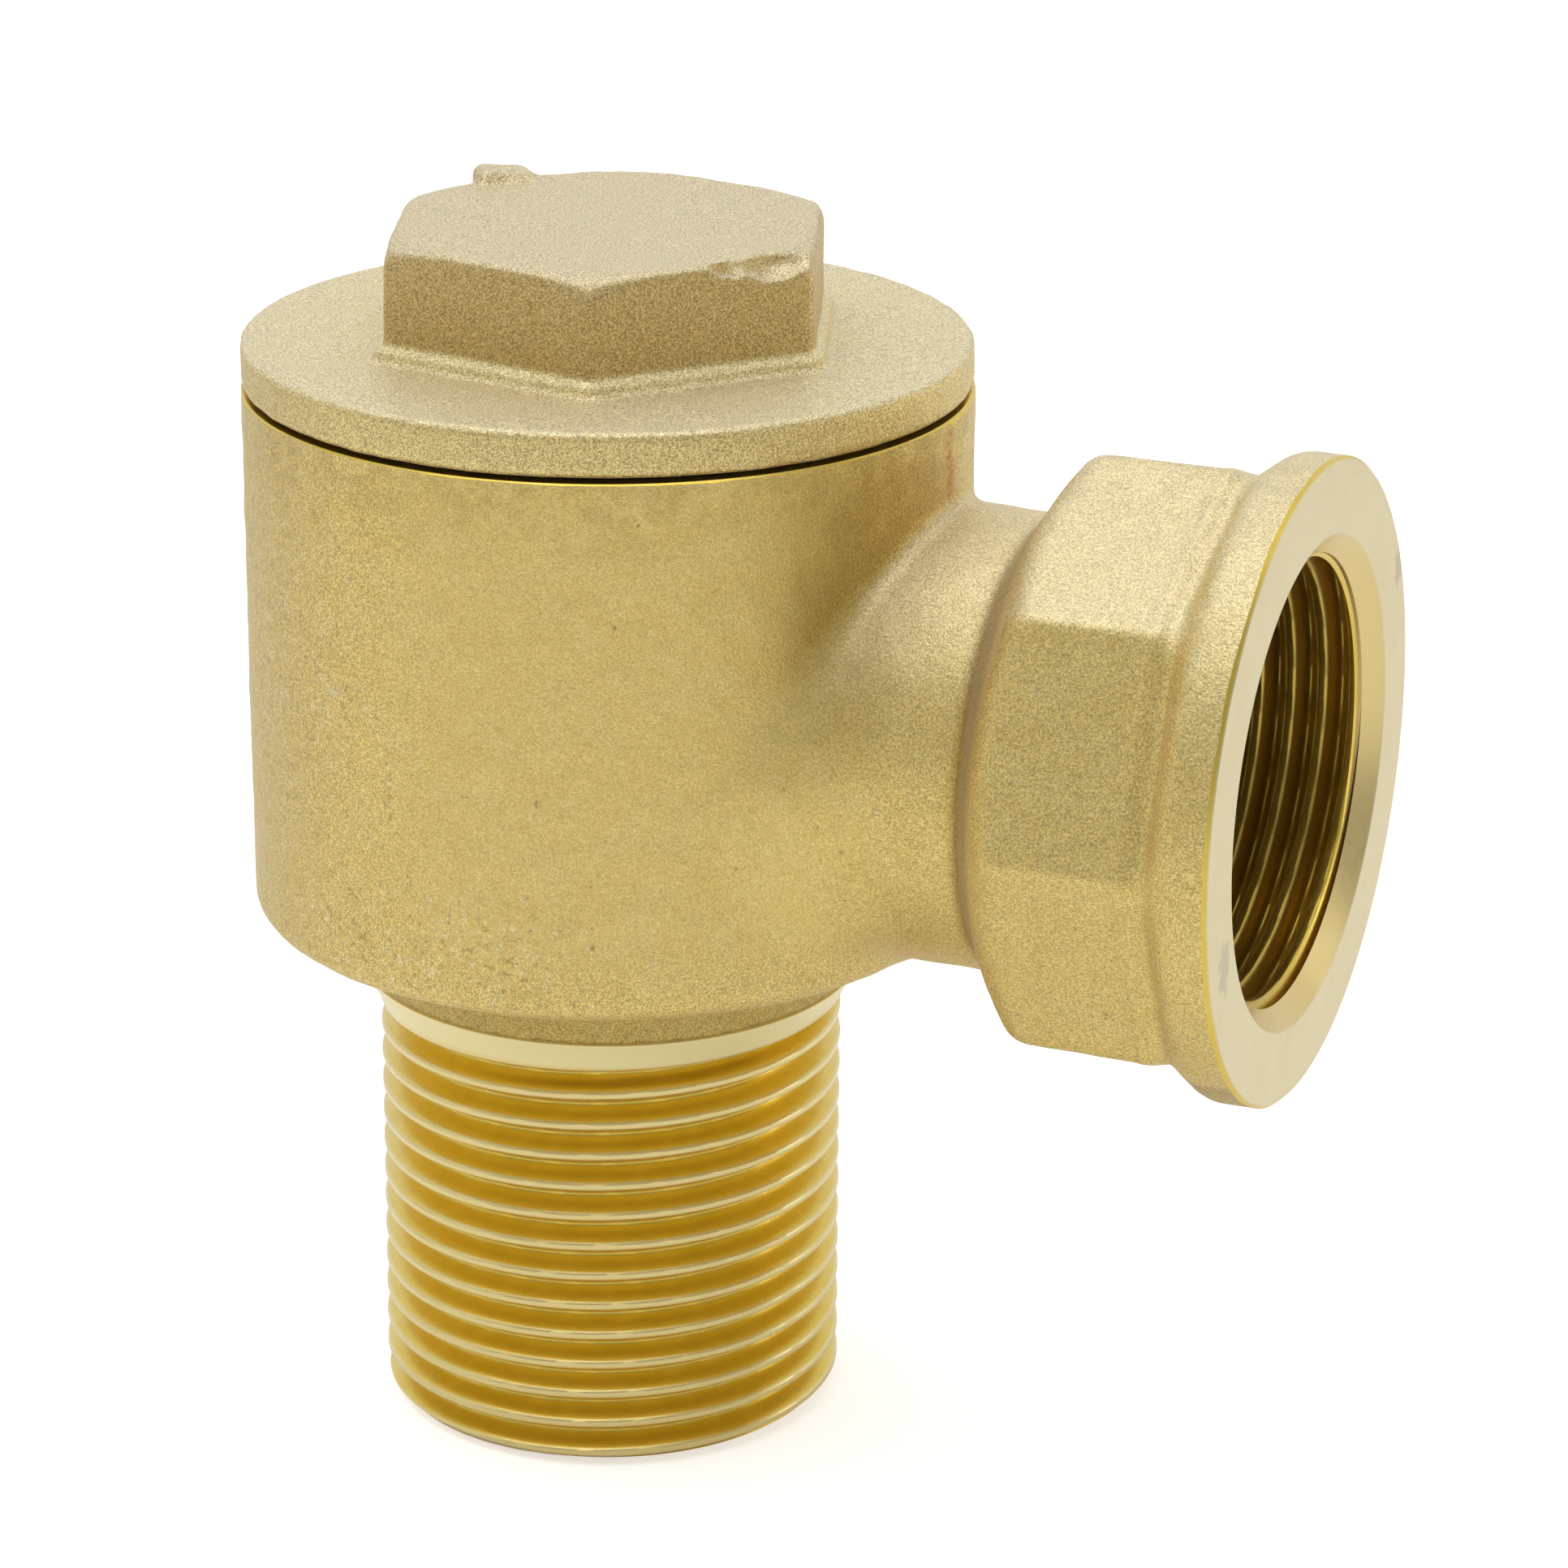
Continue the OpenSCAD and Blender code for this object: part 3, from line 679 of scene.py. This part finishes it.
    def bump(self, height, distance, strength=1.0, normal=None):
        node = self.tree.nodes.new("ShaderNodeBump")
        node.inputs["Distance"].default_value = distance * MM
        node.inputs["Strength"].default_value = strength
        self.link(height, node.inputs["Height"])
        if normal is not None:
            self.link(normal, node.inputs["Normal"])
        return node.outputs["Normal"]

    def finish(self, colour, roughness, normal, metallic=1.0, sheen=0.0, glow=0.0):
        shader = self.tree.nodes.new("ShaderNodeBsdfPrincipled")
        self.link(colour if not isinstance(colour, tuple) else (*colour, 1), shader.inputs["Base Color"])
        self.link(roughness, shader.inputs["Roughness"])
        self.link(metallic, shader.inputs["Metallic"])
        self.link(normal, shader.inputs["Normal"])
        self.link(sheen, shader.inputs["Sheen Weight"])
        shader.inputs["Emission Color"].default_value = (1, 1, 1, 1)
        self.link(glow, shader.inputs["Emission Strength"])
        out = self.tree.nodes.new("ShaderNodeOutputMaterial")
        self.tree.links.new(shader.outputs[0], out.inputs["Surface"])
        return self.material


# Colours of cast brass, some of them painted highlight and painted shade
BRASS_PALE = (0.90, 0.74, 0.34)
BRASS_MID = (0.76, 0.585, 0.20)
BRASS_DEEP = (0.42, 0.29, 0.075)
BRASS_GOLD = (0.76, 0.54, 0.13)
BRASS_STAIN = (0.24, 0.16, 0.06)
# pale dust colour, also the painted highlight on faces that look up
DUST_AND_SHEEN = (0.80, 0.725, 0.53)
GOLD_SPOT = (0.66, 0.47, 0.14)
# painted shade on the body beside the port
PORT_SHADE_TONE = (0.47, 0.33, 0.085)
PARTING_RED = (0.7, 0.36, 0.12)
SCUFF = (0.93, 0.82, 0.5)
BONNET_TONE = (0.86, 0.78, 0.56)
HEXAGON_TONE = (0.80, 0.75, 0.70)
# painted highlight on the plinth's ridge
RIDGE_HIGHLIGHT = (0.95, 0.82, 0.45)

# Colours of turned brass, some of them painted highlight, reflection and shade
TURNED = (0.76, 0.555, 0.095)
TURNED_LIGHT = (0.80, 0.59, 0.115)
# painted highlight on the thread's crests
CREST_HIGHLIGHT = (0.93, 0.81, 0.45)
# painted sheen at grazing angles on the thread
GRAZING_SHEEN_TONE = (0.88, 0.79, 0.56)
# whitish port face: painted reflection of the bright surroundings
FACE_REFLECTION_TONE = (0.79, 0.67, 0.385)
FACE_CLOUD = (0.73, 0.58, 0.27)
FACE_STAIN = (0.40, 0.34, 0.22)
MOUTH_TONE = (0.76, 0.60, 0.26)
BORE_SHADE = (0.33, 0.22, 0.06)
# painted reflection of the bright floor on the turned band
BAND_REFLECTION = (0.93, 0.82, 0.42)

# Spots of the castings, and the painted shade beside the port: centre and half widths in millimetres
GOLD_AT = ((25, -4, 70), (6, 6.5, 5.5))
# painted shade on the body beside the port
PORT_SHADE_AT = ((22.5, -11, 63), (6, 6, 14))
LEFT_WEAR_AT = ((-15, -19, 60), (12, 11, 19))
LOW_WEAR_AT = ((-4, -25, 42), (17, 9, 5))
RIGHT_STAIN_AT = ((PORT_X, 18.9, 63.6), (2, 0.9, 1.6))
LEFT_STAIN_AT = ((PORT_X, -17.8, 46.6), (2, 1.2, 2.2))

# Direction that points to the right in the photograph
SIDEWAYS = (0.92, 0.39, 0)
TURNING_LINES_PER_MM = 9.0


def blasted_colour(n):
    """Grain and mottling that the blasted castings share"""
    grain = n.span(n.noise(0.19, 2.0, 0.6), 0.36, 0.64)
    mottle = n.span(n.noise(2.6, 4.0, 0.6), 0.35, 0.65)
    colour = n.tint(BRASS_MID, grain, 0.5, BRASS_PALE)
    return n.tint(colour, mottle, 0.25, BRASS_GOLD)


def gritty(n, colour, amount):
    """Fine light and dark sparkle of a blasted surface, as a multiplier"""
    swing = n.both(n.span(n.noise(0.135, 1.5, 0.7), 0.3, 0.7, -1.0, 0.8), amount)
    grit = n.math("ADD", 1.0, swing)
    return n.mix(1.0, colour, n.combine(grit, grit, grit), "MULTIPLY")


def dust_and_top_sheen(n, colour, most):
    """Pale blasting dust and a painted top highlight on surfaces that look up; returns the colour and what
    stays metallic
    """
    geometry = n.tree.nodes.new("ShaderNodeNewGeometry")
    split = n.tree.nodes.new("ShaderNodeSeparateXYZ")
    n.link(geometry.outputs["Normal"], split.inputs[0])
    patchy = n.span(n.noise(0.3, 2.0, 0.6), 0.25, 0.7, 0.85, 1.0)
    # this mask is also a painted highlight: faces that look up are paled as if lit from above
    dust = n.both(n.span(split.outputs["Z"], 0.25, 0.95, 0.0, most), patchy)
    colour = n.mix(dust, colour, DUST_AND_SHEEN)
    return colour, n.math("SUBTRACT", 0.94, n.both(dust, 0.75))


def blasted_normal(n, depth):
    fine = n.noise(0.15, 2.0, 0.6)
    coarse = n.noise(0.9, 3.0, 0.55)
    pits = n.span(n.cells(1.6), 0.02, 0.16)
    normal = n.bump(fine, depth)
    normal = n.bump(coarse, depth, 1.0, normal)
    return n.bump(pits, 0.02, 0.6, normal)


def blasted_roughness(n):
    return n.span(n.noise(0.5, 3.0, 0.6), 0.3, 0.7, 0.42, 0.56)


def stains_and_port_shade(n, colour):
    """Dark specks, a golden spot and a painted shade next to the port, and the tint of the parting line"""
    speck = n.span(n.noise(0.7, 2.0, 0.4), 0.72, 0.8)
    colour = n.tint(colour, speck, 0.5, BRASS_STAIN)
    colour = n.tint(colour, n.patch(*GOLD_AT), 0.75, GOLD_SPOT)
    # painted shade on the body's right, beside the port
    colour = n.tint(colour, n.patch(*PORT_SHADE_AT, 0.25, 4.0), 0.5, PORT_SHADE_TONE)
    off_line = n.math("ABSOLUTE", n.math("SUBTRACT", n.y, 0.3))
    parting = n.both(n.span(off_line, 1.2, 0.1), n.window(n.x, 24.2, 25.2, 26.5, 29))
    streak = n.span(n.noise(1.5, 3.0, 0.6), 0.35, 0.6)
    return n.tint(colour, n.both(parting, streak), 0.7, PARTING_RED)


def hollow_and_neck_shade(n, colour):
    """Painted shade in the corner before the octagon and on the neck under the body"""
    # painted shade in the corner where the tube meets the octagon's shoulder
    shoulder = n.window(n.x, 31.4, 32.6, 33.6, 35.0)
    colour = n.tint(colour, shoulder, 0.75, BRASS_DEEP)
    # painted shadow on the neck, under the body
    neck = n.span(n.z, 37.4, 36.2)
    return n.tint(colour, neck, 0.6, BRASS_DEEP)


def casting_scuffs(n, colour):
    """Light and dark scuffs at the left and near the bottom, and patchy darkening at the top of the body,
    under the flange
    """
    left = n.patch(*LEFT_WEAR_AT, 0.6, 3.0)
    bright = n.span(n.noise(0.9, 3.0, 0.7), 0.5, 0.64)
    colour = n.tint(colour, n.both(left, bright), 0.42, SCUFF)
    low = n.patch(*LOW_WEAR_AT, 0.6, 1.2)
    light_scuff = n.span(n.noise(0.7, 3.0, 0.7), 0.54, 0.66)
    colour = n.tint(colour, n.both(low, light_scuff), 0.6, SCUFF)
    dark_scuff = n.span(n.noise(0.55, 3.0, 0.7), 0.44, 0.34)
    colour = n.tint(colour, n.both(n.either(low, left), dark_scuff), 0.6, BRASS_DEEP)
    # patchy darkening at the top of the body, under the flange
    under = n.both(n.span(n.z, 69, 75), n.span(n.noise(1.8, 4.0, 0.65), 0.4, 0.62))
    return n.tint(colour, under, 0.3, BRASS_DEEP)


def cast_body_material():
    n = Nodes("cast_brass")
    colour = stains_and_port_shade(n, blasted_colour(n))
    colour = hollow_and_neck_shade(n, colour)
    colour = casting_scuffs(n, colour)
    # pale dust and painted top highlight on faces that look up
    colour, metallic = dust_and_top_sheen(n, colour, 0.56)
    side = n.vector("DOT_PRODUCT", n.point, SIDEWAYS)
    grain = n.either(n.span(side, -8, -18, 0.16, 0.38), n.span(side, 12, 22, 0.16, 0.34))
    grain = n.either(grain, n.span(n.z, 44, 39, 0.16, 0.36))
    colour = gritty(n, colour, grain)
    # painted shade down the left side of the body
    colour = n.mix(n.span(side, -15, -25, 0.0, 0.32), colour, BRASS_DEEP)
    return n.finish(colour, blasted_roughness(n), blasted_normal(n, 0.05), metallic, sheen=0.15)


def cast_bonnet_material():
    n = Nodes("cast_brass_bonnet")
    colour = n.mix(0.18, blasted_colour(n), BONNET_TONE)
    hexagon = n.span(n.z, FLANGE_TOP + 1.0, FLANGE_TOP + 1.6)
    colour = n.mix(hexagon, colour, n.mix(1.0, colour, HEXAGON_TONE, "MULTIPLY"))
    # pale dust and painted top highlight on faces that look up
    colour, metallic = dust_and_top_sheen(n, colour, 0.58)
    # painted highlight along the top of the plinth's ridge
    ridge_highlight = n.window(n.z, FLANGE_TOP + 0.45, FLANGE_TOP + 0.8, FLANGE_TOP + 1.1, FLANGE_TOP + 1.4)
    colour = n.tint(colour, ridge_highlight, 0.5, RIDGE_HIGHLIGHT)
    colour = gritty(n, colour, 0.44)
    side = n.vector("DOT_PRODUCT", n.point, SIDEWAYS)
    # painted shade down the left side of the flange
    flange = n.span(n.z, FLANGE_TOP - 0.2, FLANGE_TOP - 0.6)
    colour = n.mix(n.both(flange, n.span(side, -15, -25, 0.0, 0.3)), colour, BRASS_DEEP)
    return n.finish(colour, blasted_roughness(n), blasted_normal(n, 0.07), metallic, sheen=0.15)


def turning_lines(n, radius, height):
    """Noise stretched into rings round an axis"""
    lines = n.combine(n.both(radius, TURNING_LINES_PER_MM), n.both(height, TURNING_LINES_PER_MM))
    return n.noise(1.0, 3.0, 0.7, lines)


def port_face_colour(n):
    """Turned face painted whitish for the reflection of the bright surroundings, with faint clouds and two
    grey stains
    """
    cloud = n.span(n.noise(5.0, 3.0, 0.55), 0.4, 0.7)
    colour = n.tint(FACE_REFLECTION_TONE, cloud, 0.3, FACE_CLOUD)
    stains = n.either(n.patch(*RIGHT_STAIN_AT, 0.5, 0.9), n.patch(*LEFT_STAIN_AT, 0.5, 0.9))
    return n.tint(colour, stains, 0.5, FACE_STAIN)


def specks_and_inside_shade(n, colour, axis_r):
    """Dark specks everywhere, and painted shade in the chamber and the inlet"""
    speck = n.span(n.noise(0.35, 2.0, 0.5), 0.7, 0.8)
    colour = n.tint(colour, speck, 0.3, BRASS_DEEP)
    # painted shade inside the chamber and the inlet
    inside = n.either(n.span(n.z, 37.5, 38.5), n.span(axis_r, 13.5, 13))
    inside = n.both(inside, n.span(axis_r, 24.6, 23.5))
    inside_shade = n.span(n.noise(1.4, 3.0, 0.6), 0.35, 0.7, 0.2, 0.5)
    return n.mix(n.both(inside, inside_shade), colour, BRASS_DEEP)


def machined_material():
    """Bright turned brass of the thread, the port face and the bores"""
    n = Nodes("machined_brass")
    axis_r = n.axis_radius()
    on_port = n.span(n.x, 27, 29)
    turned = n.mix(on_port, turning_lines(n, axis_r, n.z), turning_lines(n, n.port_radius(), n.x))
    mottle = n.span(n.noise(1.6, 3.0, 0.5), 0.3, 0.7)
    colour = n.mix(mottle, TURNED, TURNED_LIGHT)
    below = n.both(n.span(axis_r, 20, 19), n.span(n.z, BODY_BOTTOM, BODY_BOTTOM - 1))
    # painted highlight on the thread's crests
    crest = n.both(n.span(axis_r, THREAD_R - 0.28, THREAD_R - 0.05), below)
    colour = n.tint(colour, crest, 0.6, CREST_HIGHLIGHT)
    mouth = n.both(n.span(n.x, PORT_X - 1.6, PORT_X - 1.4), n.span(n.port_radius(), 17.3, 17.1))
    colour = n.mix(mouth, colour, MOUTH_TONE)
    # painted sheen where the thread's surface turns away from the view
    grazing = n.tree.nodes.new("ShaderNodeLayerWeight").outputs["Facing"]
    grazing_sheen = n.both(n.span(grazing, 0.4, 0.85), below)
    colour = n.tint(colour, grazing_sheen, 0.5, GRAZING_SHEEN_TONE)
    # the port face's whitish tone is painted reflection; its clouds and stains are marks on the face
    face = n.span(n.x, PORT_X - 0.12, PORT_X - 0.02)
    colour = n.mix(face, colour, port_face_colour(n))
    bore = n.both(n.span(n.x, PORT_X - 1.5, PORT_X - 2.4), n.span(n.port_radius(), 16.95, 16.8))
    colour = n.tint(colour, n.both(bore, on_port), 0.48, BORE_SHADE)
    # painted reflection of the bright floor on the turned band above the thread
    band = n.both(n.window(n.z, BAND_LOW - 0.1, BAND_LOW + 0.1, NECK_LOW + 1, NECK_LOW + 1.5), below)
    colour = n.tint(colour, band, 0.95, BAND_REFLECTION)
    colour = specks_and_inside_shade(n, colour, axis_r)
    # band, crests and face made less metallic so that their painted highlight and reflection read pale
    painted_pale = n.either(n.either(band, n.both(crest, 0.6)), face)
    normal = n.bump(turned, 0.004)
    normal = n.bump(n.noise(0.3, 3.0, 0.5), 0.002, 0.7, normal)
    rough = n.span(n.noise(0.6, 3.0, 0.6), 0.3, 0.7, 0.3, 0.36)
    return n.finish(colour, rough, normal, n.math("SUBTRACT", 0.97, n.both(painted_pale, 0.4)))


def metal(name, dark, light, rough, line, stretch):
    """Worked metal with fine lines across its axis; stretch squeezes the noise along the axis"""
    n = Nodes(name)
    fine = n.noise(line, 3.0, 0.6, n.vector("MULTIPLY", n.point, (1, 1, stretch)))
    cloud = n.noise(2.2, 4.0, 0.6)
    colour = n.mix(n.span(fine, 0.3, 0.7), dark, light)
    shade = tuple(c * 0.6 for c in dark)
    colour = n.tint(colour, n.span(cloud, 0.55, 0.75), 0.45, shade)
    normal = n.bump(fine, 0.02)
    normal = n.bump(n.noise(0.5, 3.0, 0.5), 0.012, 0.8, normal)
    return n.finish(colour, n.span(cloud, 0.3, 0.7, rough - 0.07, rough + 0.1), normal)


def fibre_material():
    n = Nodes("graphited_fibre")
    flakes = n.noise(0.35, 4.0, 0.7, n.vector("MULTIPLY", n.point, (1, 1, 2.5)))
    colour = n.mix(n.span(flakes, 0.35, 0.7), (0.018, 0.016, 0.014), (0.07, 0.065, 0.06))
    normal = n.bump(flakes, 0.05)
    return n.finish(colour, n.span(flakes, 0.3, 0.7, 0.55, 0.8), normal, 0.0)


def floor_material():
    """Pale floor that glows a little, more for the camera than for the object"""
    n = Nodes("pale_floor")
    cloud = n.noise(40, 2.0, 0.5)
    colour = n.tint((0.93, 0.93, 0.93), cloud, 0.15, (0.9, 0.9, 0.9))
    normal = n.bump(n.noise(1.5, 2.0, 0.5), 0.01, 0.3)
    path = n.tree.nodes.new("ShaderNodeLightPath")
    glow = n.math("ADD", n.both(path.outputs["Is Camera Ray"], 0.47), 0.08)
    return n.finish(colour, 0.75, normal, 0.0, glow=glow)


# ---------------------------------------------------------------- pieces

def make_casting(cast, machined):
    """Body: cast skin from the distance field, then the turned thread and bores"""
    voxel = 0.34
    low, high = (-27, -27, 30.6), (54.4, 27.2, 78.6)
    x, y, z = grid_axes(low, high, voxel)
    body = field_object("body_casting", casting_distance(x, y, z), low, voxel)
    wear(body, 2.2, 0.05, 11)
    dress(body, cast)
    join(body, dress(male_thread(), machined), "UNION")
    for cutter in (bore_cutter(), port_cutter(), female_thread_cutter()):
        join(body, dress(cutter, machined), "DIFFERENCE")
    to_metres(body)
    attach(body, "housing")
    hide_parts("body")


def make_bonnet(cast, machined):
    """Bonnet: cast flange and hexagon, then the turned underside, skirt and hollow"""
    voxel = 0.24
    low, high = (-26.4, -26.4, FLANGE_LOW - 2), (26.5, 26.5, HEX_TOP + 1.6)
    x, y, z = grid_axes(low, high, voxel)
    bonnet = field_object("bonnet_casting", bonnet_distance(x, y, z), low, voxel)
    wear(bonnet, 1.8, 0.04, 17)
    dress(bonnet, cast)
    join(bonnet, dress(underside_cutter(), machined), "DIFFERENCE")
    join(bonnet, dress(skirt_solid(), machined), "UNION")
    join(bonnet, dress(cavity_cutter(), machined), "DIFFERENCE")
    to_metres(bonnet)
    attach(bonnet, "bonnet")
    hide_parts("bonnet")


def closed_sweep(name, rings, closed=True):
    """Mesh from rings of equal length; the last ring joins the first, or flat ends close it"""
    rows = len(rings)
    count = len(rings[0])
    points = [p for ring in rings for p in ring]
    faces = []
    for i in range(rows if closed else rows - 1):
        for j in range(count):
            a = i * count + j
            b = i * count + (j + 1) % count
            c = (i + 1) % rows * count
            faces.append([a, b, c + (j + 1) % count, c + j])
    if not closed:
        faces.append(list(range(count))[::-1])
        faces.append(list(range((rows - 1) * count, rows * count)))
    return mesh_object(name, points, faces)


def lathe_ring(name, section, steps=160):
    """Ring of revolution from a closed section of (radius, height), counter-clockwise"""
    rings = []
    for i in range(steps):
        a = -2 * math.pi * i / steps
        rings.append([(r * math.cos(a), r * math.sin(a), h) for r, h in section])
    return closed_sweep(name, rings)


def make_gasket(material):
    """Flat ring with softened edges; the clamped outer side bulges a little"""
    low, high = gasket_low.z, gasket_high.z
    inner, outer = GASKET_INNER_R, gasket_high.y
    middle = (low + high) / 2
    edge = 0.12
    swell = 0.06
    section = [(inner, low + edge), (inner + edge, low), (outer - edge, low), (outer - swell, low + edge),
               (outer, middle), (outer - swell, high - edge), (outer - edge, high),
               (inner + edge, high), (inner, high - edge), (inner - swell / 2, middle)]
    gasket = lathe_ring("bonnet_gasket_ring", section, 180)
    dress(gasket, material)
    to_metres(gasket, 40)
    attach(gasket, "gasket")
    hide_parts("bonnet_gasket")


def make_bellows(material):
    """Corrugated capsule wall with rounded folds, open at both cuffs"""
    folds = 5
    steps = 12 * folds
    wall = 0.4
    depth = 2.6
    fullness = 0.85
    low, high = bellows_low.z, bellows_high.z
    root = bellows_high.y - depth
    outside, inside = [], []
    for i in range(steps + 1):
        share = i / steps
        swing = (0.5 - 0.5 * math.cos(2 * math.pi * folds * share)) ** fullness
        r = root + depth * swing
        h = low + (high - low) * share
        outside.append((r, h))
        inside.append((r - wall, h))
    bellows = lathe_ring("bellows_capsule", outside + inside[::-1], 144)
    dress(bellows, material)
    to_metres(bellows, 60)
    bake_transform(bellows)
    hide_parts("bellows")


def coil_rings(low, high, coil_r, wire, turns):
    """Rings of points along a coil whose end turns lie flat"""
    sides = 14
    total = int(turns * 48)
    flat_share = 0.13
    rings = []
    for i in range(total + 1):
        share = i / total
        a = 2 * math.pi * turns * share
        lift = min(max((share - flat_share) / (1 - 2 * flat_share), 0), 1)
        h = low + (high - low) * lift
        ring = []
        for j in range(sides):
            b = 2 * math.pi * j / sides
            r = coil_r + wire * math.cos(b)
            ring.append((r * math.cos(a), r * math.sin(a), h + wire * math.sin(b)))
        rings.append(ring)
    return rings


def make_spring(material):
    """Coil spring with a round wire, resting on the head plate and against the cup's plate"""
    wire = 0.55
    cup_plate = 1.0
    low = HEAD_PLATE_TOP + wire
    high = CUP_TOP - cup_plate - wire
    rings = coil_rings(low, high, spring_high.y - wire, wire, 3.0)
    spring = closed_sweep("override_coil", rings, closed=False)
    dress(spring, material)
    to_metres(spring, 50)
    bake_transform(spring)
    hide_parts("override_spring")


def soften_edges(node):
    soften = node.modifiers.new("edge", "BEVEL")
    soften.width = 0.08 * MM
    soften.segments = 2
    soften.limit_method = "ANGLE"
    soften.angle_limit = math.radians(40)
    soften.harden_normals = False


def dress_cad_nodes():
    """Materials and softened edges for the carried CAD nodes; returns the wire's material"""
    turned = metal("turned_brass", (0.72, 0.52, 0.18), (0.88, 0.70, 0.34), 0.28, 0.5, 4)
    sheet = metal("satin_stainless", (0.42, 0.42, 0.41), (0.62, 0.62, 0.61), 0.3, 0.5, 5)
    wire = metal("drawn_wire", (0.36, 0.36, 0.35), (0.6, 0.6, 0.58), 0.26, 0.4, 5)
    copper = metal("soft_copper", (0.62, 0.30, 0.18), (0.82, 0.46, 0.30), 0.36, 0.5, 3)
    looks = {
        turned: ("valve_seat", "head_plate", "stop_post", "foot_plate", "plug_nut"),
        sheet: ("strainer_screen", "strainer_rim", "cage", "setting_shim", "spring_cup", "valve_plug"),
        wire: ("strainer_snap_ring", "cage_snap_ring"),
        copper: ("seat_gasket", "fill_tube"),
    }
    for material, names in looks.items():
        for name in names:
            node = frame["nodes"][name]
            dress(node, material)
            soften_edges(node)
    return wire


# ---------------------------------------------------------------- stage

def make_floor():
    size = 3.0
    corners = [(-size, -size, 0), (size, -size, 0), (size, size, 0), (-size, size, 0)]
    floor = mesh_object("floor", corners, [[0, 1, 2, 3]])
    dress(floor, floor_material())


def make_world():
    """White surroundings, dimmer on the camera's side and brighter behind the object"""
    front, behind = 0.38, 0.88
    world = bpy.data.worlds.new("studio")
    bpy.context.scene.world = world
    world.use_nodes = True
    tree = world.node_tree
    back = tree.nodes["Background"]
    back.inputs["Color"].default_value = (1, 1, 1, 1)
    place = tree.nodes.new("ShaderNodeTexCoord")
    away = tree.nodes.new("ShaderNodeVectorMath")
    away.operation = "DOT_PRODUCT"
    away.inputs[1].default_value = (-math.sin(VIEW_AZIMUTH), math.cos(VIEW_AZIMUTH), 0)
    tree.links.new(place.outputs["Generated"], away.inputs[0])
    ramp = tree.nodes.new("ShaderNodeMapRange")
    ramp.interpolation_type = "SMOOTHSTEP"
    ramp.inputs["From Min"].default_value = 0.0
    ramp.inputs["From Max"].default_value = 0.7
    ramp.inputs["To Min"].default_value = front
    ramp.inputs["To Max"].default_value = behind
    tree.links.new(away.outputs["Value"], ramp.inputs["Value"])
    tree.links.new(ramp.outputs["Result"], back.inputs["Strength"])


def soft_light(name, place, aim, size, power):
    data = bpy.data.lights.new(name, "AREA")
    data.shape = "RECTANGLE"
    data.size, data.size_y = size
    data.energy = power
    lamp = bpy.data.objects.new(name, data)
    bpy.context.scene.collection.objects.link(lamp)
    lamp.location = place
    direction = Vector(aim) - Vector(place)
    lamp.rotation_euler = direction.to_track_quat("-Z", "Y").to_euler()


def make_lights():
    centre = (0.01, 0, 0.05)
    thread_foot = (0, 0, 0.015)
    soft_light("overhead", (-0.03, -0.05, 0.75), centre, (0.7, 0.7), 2.65)
    soft_light("key_left", (-0.62, -0.35, 0.42), centre, (0.5, 0.5), 0.4)
    soft_light("rim_right", (0.6, 0.35, 0.3), centre, (0.35, 0.6), 0.4)
    soft_light("low_right", (0.36, 0.18, 0.05), thread_foot, (0.05, 0.12), 0.07)


def make_camera():
    """Camera at the photograph's place and viewing angle"""
    place = (0.1462, -0.3167, 0.1727)
    level = math.cos(VIEW_ELEVATION)
    right = Vector((math.cos(VIEW_AZIMUTH), math.sin(VIEW_AZIMUTH), 0))
    forward = Vector((-math.sin(VIEW_AZIMUTH) * level, math.cos(VIEW_AZIMUTH) * level,
                      -math.sin(VIEW_ELEVATION)))
    up = right.cross(forward)
    across = right * math.cos(VIEW_ROLL) + up * math.sin(VIEW_ROLL)
    above = up * math.cos(VIEW_ROLL) - right * math.sin(VIEW_ROLL)
    data = bpy.data.cameras.new("camera")
    data.lens = 119.2
    data.sensor_width = 36
    data.clip_start = 0.01
    camera = bpy.data.objects.new("camera", data)
    bpy.context.scene.collection.objects.link(camera)
    turn = Matrix((across, above, -forward)).transposed().to_4x4()
    camera.matrix_world = Matrix.Translation(place) @ turn
    bpy.context.scene.camera = camera


machined_brass = machined_material()
make_casting(cast_body_material(), machined_brass)
make_bonnet(cast_bonnet_material(), machined_brass)
make_gasket(fibre_material())
make_bellows(metal("bronze_bellows", (0.62, 0.40, 0.17), (0.82, 0.58, 0.32), 0.24, 0.6, 3))
make_spring(dress_cad_nodes())
make_floor()
make_world()
make_lights()
make_camera()
bpy.context.scene.view_settings.view_transform = "Standard"
